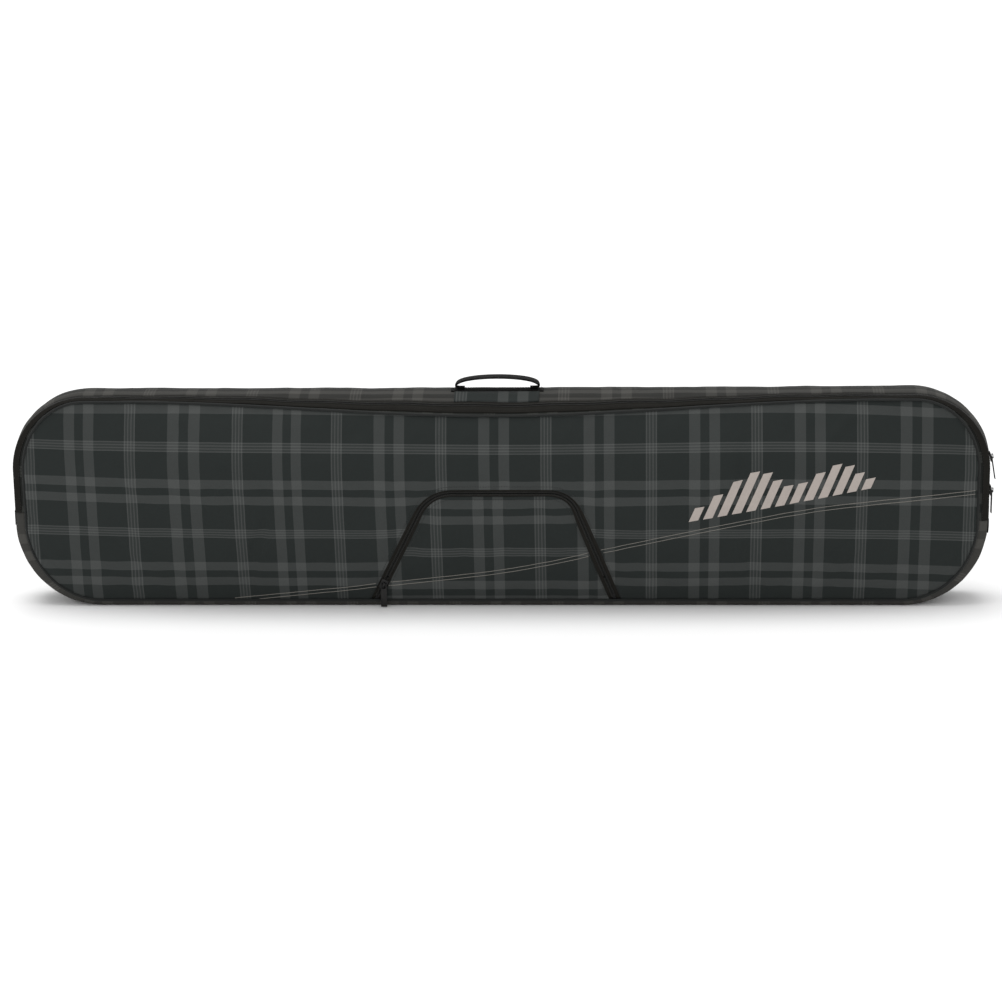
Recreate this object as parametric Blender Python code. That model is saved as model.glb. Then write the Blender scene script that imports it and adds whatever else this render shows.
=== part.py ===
"""A padded snowboard bag that stands on its long bottom edge.

+X runs along the bag, the front faces -Y and +Z is up. The origin is under the middle of the bag, on the
surface that it stands on. The bag is a front and a back panel joined by a gusset that runs right round.
Across the gusset, v runs from -1 at the back seam to 1 at the front seam.
"""

import math
from collections import namedtuple

import bmesh
import bpy
import numpy as np
from mathutils import Matrix, Vector

# Overall sizes, in metres
BAG_LENGTH = 1.575
BAG_HEIGHT = 0.350
TOP_CORNER = 0.125
BOTTOM_CORNER = 0.140
END_SEAM_DEPTH = 0.092
TOP_SEAM_DEPTH = 0.140
FULL_HALF_LENGTH = 0.600
CREST_V = 0.4

# Seam insets from the bag's outline
END_SEAM_INSET = 0.022
TOP_END_SEAM_INSET = 0.0095
TOP_MIDDLE_SEAM_INSET = 0.028
BOTTOM_SEAM_INSET = 0.010

# Cloth, foam and piping
GAP = 0.0004
CLOTH = 0.0012
LINING = 0.0008
FOAM = 0.005
GUSSET_CLOTH = 0.003
PIPING_RADIUS = 0.0022
BINDING_CLEARANCE = 0.0006

# The panels' bulge: a straight lean from the bottom seam up to the knee, then a curve back to the top seam
FRONT_LEAN = 0.20
FRONT_INNER_LEAN = 0.05
BACK_LEAN = 0.10
KNEE_ABOVE_POUCH = 0.0019
BELLY_BEYOND_POCKET = 0.048
BELLY_POWER = 2.2
PANEL_COLUMNS = 12
PANEL_CORNER_COLUMNS = 6
PANEL_ROWS = 8

# Main zip
ZIP_TRACK_V = 0.75
TRACK_INSET_END = 0.005
TRACK_INSET_MIDDLE = 0.015
ZIP_HALF_WIDTH = 0.0065
ZIP_TAPE = 0.0008
COIL_SLOT = 0.0007
COIL_WIDTH = 0.0030
COIL_BELOW = 0.0005
COIL_ABOVE = 0.0015
ZIP_LEFT_END_ABOVE_CORNER = 0.018
ZIP_RIGHT_END_ABOVE_CORNER = 0.002
TAB_LENGTH = 0.022
TAB_HALF_WIDTH = 0.0062
TAB_THICKNESS = 0.0015

# Sliders and pulls
SLIDER_LENGTH = 0.016
SLIDER_HALF_WIDTH = 0.0055
SLIDER_PLATE = 0.0012
SLIDER_CLEARANCE = 0.0007
CROWN_LENGTH = 0.0076
CROWN_WIDTH = 0.0026
CROWN_SPACE = 0.0030
CROWN_WALL = 0.0012
PULL_LENGTH = 0.038
PULL_WIDTH = 0.010
PULL_THICKNESS = 0.0014
PULL_EYE_LENGTH = 0.0062
PULL_EYE_WIDTH = 0.0062
LOWER_SLIDER_ABOVE_MIDDLE = 0.0075
PULL_TO_SLIDER = 0.017

# Handle
HANDLE_SPAN = 0.136
HANDLE_HEIGHT = 0.023
HANDLE_WEB = 0.003
HANDLE_WIDTH = 0.025
HANDLE_FOOT_WIDTH = 0.007
HANDLE_PIVOT_HEIGHT = 0.0064
HANDLE_BASE_OVERHANG = 0.006
HANDLE_BASE_THICKNESS = 0.0013
HANDLE_PATCH_THICKNESS = 0.0010
HANDLE_CENTRE_Y = -0.001

# Front pocket: the zip's centreline, seen from the front
POCKET_LEFT_X = -0.1994
POCKET_RIGHT_X = 0.1870
POCKET_TOP_LEFT_X = -0.1084
POCKET_TOP_RIGHT_X = 0.1155
POCKET_TOP_Z = 0.1987
POCKET_LEFT_RADIUS = 0.060
POCKET_RIGHT_RADIUS = 0.046
POCKET_ZIP_HALF_WIDTH = 0.0070
POCKET_FOLD_Z = 0.052
POCKET_SLIDER_Z = 0.040
POCKET_COIL_END = 0.005
POUCH = 0.0006
POUCH_MARGIN = 0.014

HALF_LENGTH = BAG_LENGTH / 2
END_HALF_DEPTH = END_SEAM_DEPTH / 2
TOP_HALF_DEPTH = TOP_SEAM_DEPTH / 2
PANEL_CLEARANCE = PIPING_RADIUS + BINDING_CLEARANCE
BOTTOM_EDGE_Z = BOTTOM_SEAM_INSET + PANEL_CLEARANCE
COIL_EDGE = COIL_SLOT + COIL_WIDTH
TRACK_Y = -ZIP_TRACK_V * END_HALF_DEPTH
ZIP_LEFT_END_Z = BOTTOM_CORNER + ZIP_LEFT_END_ABOVE_CORNER
ZIP_RIGHT_END_Z = BOTTOM_CORNER + ZIP_RIGHT_END_ABOVE_CORNER
END_WALL_MIDDLE_Z = (BOTTOM_CORNER + BAG_HEIGHT - TOP_CORNER) / 2
LOWER_SLIDER_Z = END_WALL_MIDDLE_Z + LOWER_SLIDER_ABOVE_MIDDLE
UPPER_SLIDER_ARC = LOWER_SLIDER_Z + PULL_LENGTH + PULL_TO_SLIDER - (BAG_HEIGHT - TOP_CORNER)
UPPER_SLIDER_ANGLE = UPPER_SLIDER_ARC / (TOP_CORNER - TRACK_INSET_END)
MIDDLE_PANEL_HEIGHT = BAG_HEIGHT - TOP_MIDDLE_SEAM_INSET - PANEL_CLEARANCE - BOTTOM_EDGE_Z
KNEE = (POCKET_TOP_Z + POUCH_MARGIN + KNEE_ABOVE_POUCH - BOTTOM_EDGE_Z) / MIDDLE_PANEL_HEIGHT
BELLY_HALF_LENGTH = max(-POCKET_LEFT_X, POCKET_RIGHT_X) + BELLY_BEYOND_POCKET

CLOTH_BLACK = (0.024, 0.028, 0.027)
CLOTH_GREY = (0.045, 0.048, 0.047)
TRIM_BLACK = (0.012, 0.012, 0.011)
METAL_BLACK = (0.02, 0.02, 0.022)
FOAM_GREY = (0.35, 0.35, 0.34)
LINING_GREY = (0.08, 0.08, 0.085)

# A place on the bag's outline: the outline point is centre + radius * way, and low is 1 along the bottom
Station = namedtuple("Station", "centre_x centre_z radius way_x way_z low")


# ---------------------------------------------------------------- the bag's outline and gusset


def fullness(x):
    """How full the bag is at x: 1 in the middle, falling smoothly to 0 towards the ends."""
    t = max(0.0, 1.0 - abs(x) / FULL_HALF_LENGTH)
    return t * t * (3.0 - 2.0 * t)


def mix(a, b, t):
    return a + (b - a) * t


def end_station(side, z):
    return Station(side * (HALF_LENGTH - TOP_CORNER), z, TOP_CORNER, side, 0.0, 0.0)


def top_station(x):
    return Station(x, BAG_HEIGHT - TOP_CORNER, TOP_CORNER, 0.0, 1.0, 0.0)


def bottom_station(x):
    return Station(x, BOTTOM_CORNER, BOTTOM_CORNER, 0.0, -1.0, 1.0)


def top_corner_station(side, angle):
    centre = side * (HALF_LENGTH - TOP_CORNER)
    way = (side * math.cos(angle), math.sin(angle))
    return Station(centre, BAG_HEIGHT - TOP_CORNER, TOP_CORNER, way[0], way[1], 0.0)


def bottom_corner_station(side, angle):
    centre = side * (HALF_LENGTH - BOTTOM_CORNER)
    way = (side * math.cos(angle), -math.sin(angle))
    return Station(centre, BOTTOM_CORNER, BOTTOM_CORNER, way[0], way[1], math.sin(angle))


def top_x_places(count):
    reach = HALF_LENGTH - TOP_CORNER
    return np.linspace(reach, -reach, count)


def zip_stations():
    """From the zip's right end up, along the top and down to its left end."""
    corner_bottom = BAG_HEIGHT - TOP_CORNER
    stations = [end_station(1, z) for z in (ZIP_RIGHT_END_Z, mix(ZIP_RIGHT_END_Z, corner_bottom, 0.5))]
    stations += [top_corner_station(1, a) for a in np.linspace(0, math.pi / 2, 16)]
    stations += [top_station(x) for x in top_x_places(17)[1:-1]]
    stations += [top_corner_station(-1, a) for a in np.linspace(math.pi / 2, 0, 11)]
    stations += [end_station(-1, z) for z in (mix(ZIP_LEFT_END_Z, corner_bottom, 0.5), ZIP_LEFT_END_Z)]
    return stations


def base_stations():
    """From the zip's left end down, along the bottom and up to its right end."""
    reach = HALF_LENGTH - BOTTOM_CORNER
    quarter = np.linspace(0, math.pi / 2, 10)
    stations = [end_station(-1, ZIP_LEFT_END_Z - GAP)]
    stations += [bottom_corner_station(-1, a) for a in quarter]
    stations += [bottom_station(x) for x in np.linspace(-reach, reach, 9)[1:-1]]
    stations += [bottom_corner_station(1, a) for a in quarter[::-1]]
    stations += [end_station(1, ZIP_RIGHT_END_Z - GAP)]
    return stations


def loop_stations():
    """Once round the whole outline."""
    return zip_stations() + base_stations()


def half_depth(station):
    full = fullness(station.centre_x) if station.way_z > 0.999 else 0.0
    return mix(END_HALF_DEPTH, TOP_HALF_DEPTH, full)


def seam_insets(station):
    """The seam's inset from the outline along X and along Z."""
    if station.low > 0:
        return END_SEAM_INSET, BOTTOM_SEAM_INSET
    full = fullness(station.centre_x) if station.way_z > 0.999 else 0.0
    return END_SEAM_INSET, mix(TOP_END_SEAM_INSET, TOP_MIDDLE_SEAM_INSET, full)


def track_inset(station):
    """How far the gusset drops from the outline at the zip. The bottom stays flat."""
    full = fullness(station.centre_x) if station.way_z > 0.999 else 0.0
    return mix(TRACK_INSET_END, TRACK_INSET_MIDDLE, full) * (1.0 - station.low)


def band_v(station, offset):
    """v at a distance from the zip's centreline, positive towards the front."""
    return ZIP_TRACK_V + offset / half_depth(station)


def gusset_point(station, v):
    inner = band_v(station, -ZIP_HALF_WIDTH)
    outer = band_v(station, ZIP_HALF_WIDTH)
    knots = (0.0, CREST_V, inner, outer, 1.0)
    track = track_inset(station)
    seam_x, seam_z = seam_insets(station)
    inset_x = np.interp(abs(v), knots, (0.0, 0.25 * track, track, track, seam_x))
    inset_z = np.interp(abs(v), knots, (0.0, 0.25 * track, track, track, seam_z))
    x = station.centre_x + station.way_x * (station.radius - inset_x)
    z = station.centre_z + station.way_z * (station.radius - inset_z)
    return Vector((x, -v * half_depth(station), z))


def seam_v(station):
    """v where the gusset cloth stops, just short of the piping."""
    outer = band_v(station, ZIP_HALF_WIDTH)
    length = (gusset_point(station, 1.0) - gusset_point(station, outer)).length
    return 1.0 - (1.0 - outer) * (PANEL_CLEARANCE + GAP) / length


# ---------------------------------------------------------------- making objects


def clear_scene():
    for obj in list(bpy.data.objects):
        bpy.data.objects.remove(obj, do_unlink=True)


def material(name, colour, roughness, metallic=0.0):
    made = bpy.data.materials.new(name)
    made.use_nodes = True
    shader = made.node_tree.nodes["Principled BSDF"]
    shader.inputs["Base Color"].default_value = (*colour, 1.0)
    shader.inputs["Roughness"].default_value = roughness
    shader.inputs["Metallic"].default_value = metallic
    return made


def empty_at(name, place):
    pivot = bpy.data.objects.new(name, None)
    pivot.location = place
    bpy.context.scene.collection.objects.link(pivot)
    return pivot


def finish_object(name, mesh_data, colour, roughness=0.85, metallic=0.0, pivot=None):
    """Closes the mesh with its faces outwards and links it as one node. Its origin is moved to the pivot."""
    bmesh.ops.recalc_face_normals(mesh_data, faces=mesh_data.faces)
    if pivot is not None:
        bmesh.ops.translate(mesh_data, verts=mesh_data.verts, vec=-Vector(pivot))
    mesh = bpy.data.meshes.new(name)
    mesh_data.to_mesh(mesh)
    mesh_data.free()
    mesh.materials.append(material(name, colour, roughness, metallic))
    obj = bpy.data.objects.new(name, mesh)
    obj.location = pivot or (0.0, 0.0, 0.0)
    bpy.context.scene.collection.objects.link(obj)
    return obj


def grid_normals(grid):
    """Unit normals of a grid of points, pointing away from the middle of the bag."""
    normals = np.cross(np.gradient(grid, axis=0), np.gradient(grid, axis=1))
    normals /= np.linalg.norm(normals, axis=2, keepdims=True)
    centre = np.array((0.0, 0.0, BAG_HEIGHT / 2))
    outward = grid.mean(axis=(0, 1)) - centre
    middle = normals[len(normals) // 2, normals.shape[1] // 2]
    near = grid[len(normals) // 2, normals.shape[1] // 2] - centre
    return normals if middle @ (near + 0.001 * outward) > 0 else -normals


def grid_solid(outer, inner, closed=False):
    """A closed solid between two grids of points. A closed grid joins its last row to its first."""
    solid = bmesh.new()
    sheets = [[[solid.verts.new(p) for p in row] for row in grid] for grid in (outer, inner)]
    rows, columns = len(outer), len(outer[0])
    for i in range(rows if closed else rows - 1):
        j = (i + 1) % rows
        for k in range(columns - 1):
            for sheet in sheets:
                solid.faces.new((sheet[i][k], sheet[j][k], sheet[j][k + 1], sheet[i][k + 1]))
        for k in (0, columns - 1):
            solid.faces.new((sheets[0][i][k], sheets[0][j][k], sheets[1][j][k], sheets[1][i][k]))
    for i in () if closed else (0, rows - 1):
        for k in range(columns - 1):
            top, under = sheets[0][i], sheets[1][i]
            solid.faces.new((top[k], top[k + 1], under[k + 1], under[k]))
    return solid


def gusset_strip(stations, v_lines, above, below):
    """A strip of the gusset along lines of v, each a function of the station."""
    grid = np.array([[gusset_point(station, line(station)) for line in v_lines] for station in stations])
    normals = grid_normals(grid)
    return grid_solid(grid + above * normals, grid - below * normals)


def tube_round_loop(points, radius, sides):
    """A closed tube along a closed loop of points."""
    count = len(points)
    rings = []
    for i, point in enumerate(points):
        along = (points[(i + 1) % count] - points[i - 1]).normalized()
        side = along.cross(Vector((0.0, 1.0, 0.0))).normalized()
        ring = []
        for k in range(sides):
            angle = 2 * math.pi * k / sides
            ring.append(point + radius * (math.cos(angle) * side + math.sin(angle) * Vector((0, 1, 0))))
        rings.append(ring)
    tube = bmesh.new()
    verts = [[tube.verts.new(p) for p in ring] for ring in rings]
    for i in range(count):
        j = (i + 1) % count
        for k in range(sides):
            m = (k + 1) % sides
            tube.faces.new((verts[i][k], verts[j][k], verts[j][m], verts[i][m]))
    return tube


def box(low, high):
    """A box between two corners."""
    made = bmesh.new()
    bmesh.ops.create_cube(made, size=1.0)
    size = [b - a for a, b in zip(low, high)]
    centre = [(a + b) / 2 for a, b in zip(low, high)]
    bmesh.ops.scale(made, verts=made.verts, vec=size)
    bmesh.ops.translate(made, verts=made.verts, vec=centre)
    return made


def combine(obj, tool_name, tool, operation):
    """Joins a solid to an object, or cuts it away, with a Boolean. The tool shares the object's frame."""
    bmesh.ops.recalc_face_normals(tool, faces=tool.faces)
    mesh = bpy.data.meshes.new(tool_name)
    tool.to_mesh(mesh)
    tool.free()
    helper = bpy.data.objects.new(tool_name, mesh)
    helper.matrix_world = obj.matrix_world
    helper.parent = obj.parent
    helper.location = obj.location
    helper.rotation_euler = obj.rotation_euler
    helper.hide_render = True
    helper.display_type = "WIRE"
    bpy.context.scene.collection.objects.link(helper)
    boolean = obj.modifiers.new(tool_name, "BOOLEAN")
    boolean.object = helper
    boolean.operation = operation
    boolean.solver = "EXACT"


# ---------------------------------------------------------------- gusset, piping and main zip


def line_at(v):
    """A line of constant v."""

    def line(station):
        return v

    return line


def line_beside_zip(offset, side=1):
    """A line at a distance from the zip's centreline. A side of -1 mirrors it to the back."""

    def line(station):
        return side * band_v(station, offset)

    return line


def back_seam_v(station):
    return -seam_v(station)


def make_gusset():
    back_lines = [back_seam_v, line_beside_zip(ZIP_HALF_WIDTH, -1), line_beside_zip(-ZIP_HALF_WIDTH, -1)]
    crest_lines = [line_at(-CREST_V), line_at(0.0), line_at(CREST_V)]
    top_lines = back_lines + crest_lines + [line_beside_zip(-ZIP_HALF_WIDTH - GAP)]
    finish_object("gusset_top", gusset_strip(zip_stations(), top_lines, 0.0, GUSSET_CLOTH), CLOTH_GREY)
    strip_lines = [line_beside_zip(ZIP_HALF_WIDTH + GAP), seam_v]
    front = gusset_strip(zip_stations(), strip_lines, 0.0, CLOTH)
    finish_object("gusset_front_strip", front, CLOTH_BLACK)
    front_lines = [line_beside_zip(-ZIP_HALF_WIDTH), line_beside_zip(ZIP_HALF_WIDTH), seam_v]
    base = gusset_strip(base_stations(), back_lines + crest_lines + front_lines, 0.0, GUSSET_CLOTH)
    finish_object("gusset_base", base, CLOTH_BLACK)


def make_piping():
    for name, v in (("piping_front", 1.0), ("piping_back", -1.0)):
        points = [gusset_point(station, v) for station in loop_stations()]
        finish_object(name, tube_round_loop(points, PIPING_RADIUS, 6), TRIM_BLACK, 0.6)


def make_zip():
    for name, side in (("front", 1), ("back", -1)):
        tape_lines = [line_beside_zip(side * (COIL_EDGE + GAP)), line_beside_zip(side * ZIP_HALF_WIDTH)]
        coil_lines = [line_beside_zip(side * COIL_SLOT), line_beside_zip(side * COIL_EDGE)]
        tape = gusset_strip(zip_stations(), tape_lines, ZIP_TAPE / 2, ZIP_TAPE / 2)
        finish_object("zip_tape_" + name, tape, TRIM_BLACK)
        coil = gusset_strip(zip_stations(), coil_lines, COIL_ABOVE, COIL_BELOW)
        finish_object("zip_coil_" + name, coil, TRIM_BLACK, 0.45)


def make_end_tabs():
    lines = [line_beside_zip(-TAB_HALF_WIDTH), line_beside_zip(TAB_HALF_WIDTH)]
    for name, side, end_z in (("left", -1, ZIP_LEFT_END_Z), ("right", 1, ZIP_RIGHT_END_Z)):
        stations = tab_stations(side, end_z - GAP)
        tab = gusset_strip(stations, lines, GAP + TAB_THICKNESS, -GAP)
        finish_object("zip_end_tab_" + name, tab, TRIM_BLACK, 0.6)


def tab_stations(side, top_z):
    """Down the end wall from the zip's end, and on round the bottom corner if the tab reaches it."""
    heights = np.linspace(top_z, top_z - TAB_LENGTH, 5)
    stations = []
    for z in heights:
        if z >= BOTTOM_CORNER:
            stations.append(end_station(side, z))
        else:
            stations.append(bottom_corner_station(side, math.asin((BOTTOM_CORNER - z) / BOTTOM_CORNER)))
    return stations


# ---------------------------------------------------------------- panels


def panel_end_x():
    return HALF_LENGTH - END_SEAM_INSET - PANEL_CLEARANCE


def panel_edges(x):
    """The panels' lower and upper edges at x."""
    along = abs(x)
    low = BOTTOM_EDGE_Z
    high = BAG_HEIGHT - mix(TOP_END_SEAM_INSET, TOP_MIDDLE_SEAM_INSET, fullness(x)) - PANEL_CLEARANCE
    inset = END_SEAM_INSET + PANEL_CLEARANCE
    if along > HALF_LENGTH - BOTTOM_CORNER:
        across = (along - HALF_LENGTH + BOTTOM_CORNER) / (BOTTOM_CORNER - inset)
        low = BOTTOM_CORNER - (BOTTOM_CORNER - BOTTOM_EDGE_Z) * math.sqrt(max(0.0, 1.0 - across**2))
    if along > HALF_LENGTH - TOP_CORNER:
        across = (along - HALF_LENGTH + TOP_CORNER) / (TOP_CORNER - inset)
        rise = TOP_CORNER - TOP_END_SEAM_INSET - PANEL_CLEARANCE
        high = BAG_HEIGHT - TOP_CORNER + rise * math.sqrt(max(0.0, 1.0 - across**2))
    return low, high


def belly(x):
    """How much of the full bulge the panels have at x."""
    beyond = max(0.0, abs(x) - BELLY_HALF_LENGTH) / (panel_end_x() - BELLY_HALF_LENGTH)
    return 1.0 - min(1.0, beyond) ** BELLY_POWER


def bulge(x, z, lean):
    """How far a panel stands out from the plane of its bottom seam."""
    low, high = panel_edges(x)
    height = high - low
    slope = lean * belly(x)
    rise = (z - low) / height
    if rise <= KNEE:
        return slope * (z - low)
    t = (rise - KNEE) / (1.0 - KNEE)
    knee_out = slope * KNEE * height
    knee_slope = slope * height * (1.0 - KNEE)
    top_out = (TOP_HALF_DEPTH - END_HALF_DEPTH) * fullness(x)
    hermite = (2 * t**3 - 3 * t**2 + 1) * knee_out + (t**3 - 2 * t**2 + t) * knee_slope
    return hermite + (3 * t**2 - 2 * t**3) * top_out - 2 * (t**3 - t**2) * knee_slope


def panel_columns():
    reach = HALF_LENGTH - BOTTOM_CORNER
    corner = panel_end_x() - reach
    angles = np.linspace(0, math.pi / 2, PANEL_CORNER_COLUMNS + 1)[1:]
    ends = [reach + corner * math.sin(a) for a in angles]
    middle = list(np.linspace(-reach, reach, PANEL_COLUMNS + 1))
    return [-x for x in reversed(ends)] + middle + ends


def panel_heights(x):
    """Heights up one column. One row falls on the knee, so that the straight stretch stays straight."""
    low, high = panel_edges(x)
    shares = list(np.linspace(0.0, KNEE, PANEL_ROWS // 2 + 1))
    shares += list(np.linspace(KNEE, 1.0, PANEL_ROWS // 2 + 1))[1:]
    return [mix(low, high, share) for share in shares]


def panel_layer(side, lean, start, thickness):
    """One layer of a panel. side is -1 for the front; start is the layer's depth behind the skin."""
    sheets = []
    for depth in (start, start + thickness):
        rows = []
        for x in panel_columns():
            row = []
            for z in panel_heights(x):
                row.append(Vector((x, side * (END_HALF_DEPTH + bulge(x, z, lean) - depth), z)))
            rows.append(row)
        sheets.append(rows)
    return grid_solid(*sheets)


def make_panels():
    pouch_room = CLOTH + GAP + POUCH + GAP
    skin = finish_object("front_panel", panel_layer(-1, FRONT_LEAN, 0.0, CLOTH), CLOTH_BLACK)
    cutter = pocket_plate(pocket_path(POCKET_ZIP_HALF_WIDTH + GAP, BOTTOM_EDGE_Z - CLOTH), 0.01, -0.01)
    combine(skin, "pocket_opening", cutter, "DIFFERENCE")
    foam_start = pouch_room
    finish_object("front_foam", panel_layer(-1, FRONT_INNER_LEAN, foam_start, FOAM), FOAM_GREY, 0.95)
    lining_start = foam_start + FOAM + GAP
    finish_object("front_lining", panel_layer(-1, FRONT_INNER_LEAN, lining_start, LINING), LINING_GREY)
    finish_object("back_panel", panel_layer(1, BACK_LEAN, 0.0, CLOTH), CLOTH_BLACK)
    finish_object("back_foam", panel_layer(1, BACK_LEAN, CLOTH + GAP, FOAM), FOAM_GREY, 0.95)
    lining_start = CLOTH + GAP + FOAM + GAP
    finish_object("back_lining", panel_layer(1, BACK_LEAN, lining_start, LINING), LINING_GREY)


# ---------------------------------------------------------------- front pocket


def pocket_path(offset, end_z):
    """The pocket zip's line moved outwards by offset, from the left leg's foot to the right leg's, as (x, z)."""
    left_foot = Vector((POCKET_LEFT_X, BOTTOM_EDGE_Z))
    top_left = Vector((POCKET_TOP_LEFT_X, POCKET_TOP_Z))
    top_right = Vector((POCKET_TOP_RIGHT_X, POCKET_TOP_Z))
    right_foot = Vector((POCKET_RIGHT_X, BOTTOM_EDGE_Z))
    up = (top_left - left_foot).normalized()
    down = (right_foot - top_right).normalized()
    left_out = Vector((-up.y, up.x))
    right_out = Vector((-down.y, down.x))
    points = [leg_point(left_foot + left_out * offset, up, end_z)]
    points += corner_arc(top_left, up, Vector((1, 0)), POCKET_LEFT_RADIUS, offset, 8)
    points += corner_arc(top_right, Vector((1, 0)), down, POCKET_RIGHT_RADIUS, offset, 6)
    points.append(leg_point(right_foot + right_out * offset, down, end_z))
    return points


def leg_point(point, way, z):
    """Where a leg's line reaches the height z."""
    return point + way * ((z - point.y) / way.y)


def corner_arc(corner, way_in, way_out, radius, offset, steps):
    """A rounded corner turning clockwise from way_in to way_out, moved outwards by offset."""
    turn = way_in.angle(way_out)
    start = corner - way_in * radius * math.tan(turn / 2)
    centre = start + Vector((way_in.y, -way_in.x)) * radius
    first = math.atan2(way_in.x, -way_in.y)
    arc = []
    for k in range(steps + 1):
        angle = first - turn * k / steps
        arc.append(centre + (radius + offset) * Vector((math.cos(angle), math.sin(angle))))
    return arc


def pocket_plane_y(z, lean):
    return -(END_HALF_DEPTH + lean * (z - BOTTOM_EDGE_Z))


def pocket_plate(outline, lift, sink, lean=FRONT_LEAN):
    """A flat plate in the pocket's plane, from lift in front of the plane to -sink behind it."""
    plate = bmesh.new()
    faces = []
    for depth in (lift, sink):
        ring = [plate.verts.new((p.x, pocket_plane_y(p.y, lean) - depth, p.y)) for p in outline]
        faces.append(ring)
        plate.faces.new(ring)
    count = len(outline)
    for i in range(count):
        j = (i + 1) % count
        plate.faces.new((faces[0][i], faces[0][j], faces[1][j], faces[1][i]))
    return plate


def pocket_band(inner, outer, end_z, lift, sink):
    """A flat band along the pocket zip, between two offsets from its centreline."""
    return pocket_plate(pocket_path(outer, end_z) + pocket_path(inner, end_z)[::-1], lift, sink)


def make_pocket():
    fold = Vector((0.0, pocket_plane_y(POCKET_FOLD_Z, FRONT_LEAN) + CLOTH / 2, POCKET_FOLD_Z))
    width = POCKET_ZIP_HALF_WIDTH
    coil_above, coil_below = COIL_ABOVE - COIL_BELOW, -COIL_BELOW - CLOTH
    outer_tape = pocket_band(COIL_EDGE + GAP, width, BOTTOM_EDGE_Z, 0.0, -ZIP_TAPE)
    finish_object("pocket_tape_outer", outer_tape, TRIM_BLACK)
    coil_end = BOTTOM_EDGE_Z + POCKET_COIL_END
    outer_coil = pocket_band(COIL_SLOT, COIL_EDGE, coil_end, coil_above, coil_below)
    finish_object("pocket_coil_outer", outer_coil, TRIM_BLACK, 0.45)
    flap_end = POCKET_FOLD_Z + GAP + CLOTH / 2
    inner_tape = pocket_band(-width, -COIL_EDGE - GAP, flap_end, 0.0, -ZIP_TAPE)
    finish_object("pocket_tape_inner", inner_tape, TRIM_BLACK, pivot=fold)
    inner_coil = pocket_band(-COIL_EDGE, -COIL_SLOT, flap_end, coil_above, coil_below)
    finish_object("pocket_coil_inner", inner_coil, TRIM_BLACK, 0.45, pivot=fold)
    flap = pocket_plate(pocket_path(-width - GAP, flap_end), 0.0, -CLOTH)
    finish_object("pocket_flap", flap, CLOTH_BLACK, pivot=fold)
    make_pocket_skirt(flap_end - GAP)
    pouch_outline = pocket_path(POUCH_MARGIN, BOTTOM_EDGE_Z)
    pouch_front = -CLOTH - GAP
    pouch = pocket_plate(pouch_outline, pouch_front, pouch_front - POUCH, FRONT_INNER_LEAN)
    finish_object("pocket_pouch", pouch, LINING_GREY)


def make_pocket_skirt(top_z):
    """The flap cloth below the fold. It stays on the panel and leaves room for the parked slider."""
    offset = -SLIDER_HALF_WIDTH - 2 * GAP
    feet = pocket_path(offset, BOTTOM_EDGE_Z)
    tops = pocket_path(offset, top_z - 2 * GAP)
    outline = [feet[0], tops[0], tops[-1], feet[-1]]
    finish_object("pocket_skirt", pocket_plate(outline, 0.0, -CLOTH), CLOTH_BLACK)


# ---------------------------------------------------------------- sliders and pulls


def place(obj, origin, across, along, outward):
    """Puts an object whose local X, Y and Z are across, along and outward from the track."""
    axes = Matrix((across, along, outward)).transposed()
    obj.matrix_world = Matrix.Translation(origin) @ axes.to_4x4()


def slider_shape(name, coil_above, coil_below, frame):
    """Two plates round the coil, a post between the coils and a crown for the pull."""
    top = coil_above + SLIDER_CLEARANCE
    under = -coil_below - SLIDER_CLEARANCE
    half, width = SLIDER_LENGTH / 2, SLIDER_HALF_WIDTH
    bite = SLIDER_PLATE / 2
    obj = finish_object(name, box((-width, -half, top), (width, half, top + SLIDER_PLATE)), METAL_BLACK, 0.3, 0.9)
    place(obj, *frame)
    under_plate = box((-width, -half, under - SLIDER_PLATE), (width, half, under))
    combine(obj, name + "_under", under_plate, "UNION")
    post = COIL_SLOT - GAP
    post_box = box((-post, half - 0.005, under - bite), (post, half - 0.001, top + bite))
    combine(obj, name + "_post", post_box, "UNION")
    floor = top + SLIDER_PLATE
    arch_half = CROWN_LENGTH / 2
    crown_top = floor + CROWN_SPACE + CROWN_WALL
    crown = box((-CROWN_WIDTH / 2, -arch_half, floor - bite), (CROWN_WIDTH / 2, arch_half, crown_top))
    combine(obj, name + "_crown", crown, "UNION")
    eye_half = arch_half - CROWN_WALL
    eye = box((-CROWN_WIDTH, -eye_half, floor), (CROWN_WIDTH, eye_half, floor + CROWN_SPACE))
    combine(obj, name + "_crown_eye", eye, "DIFFERENCE")
    return floor + CROWN_SPACE / 2


def pull_shape(name, frame):
    """A flat pull that hangs along local -Y from the bar of its eye, which lies on the local X axis."""
    bar = PULL_THICKNESS / 2
    plate = box((-PULL_WIDTH / 2, -PULL_LENGTH + bar, -bar), (PULL_WIDTH / 2, bar, bar))
    obj = finish_object(name, plate, METAL_BLACK, 0.35, 0.6)
    place(obj, *frame)
    width = PULL_EYE_WIDTH / 2
    eye = box((-width, -bar - PULL_EYE_LENGTH, -PULL_THICKNESS), (width, -bar, PULL_THICKNESS))
    combine(obj, name + "_eye", eye, "DIFFERENCE")


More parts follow.
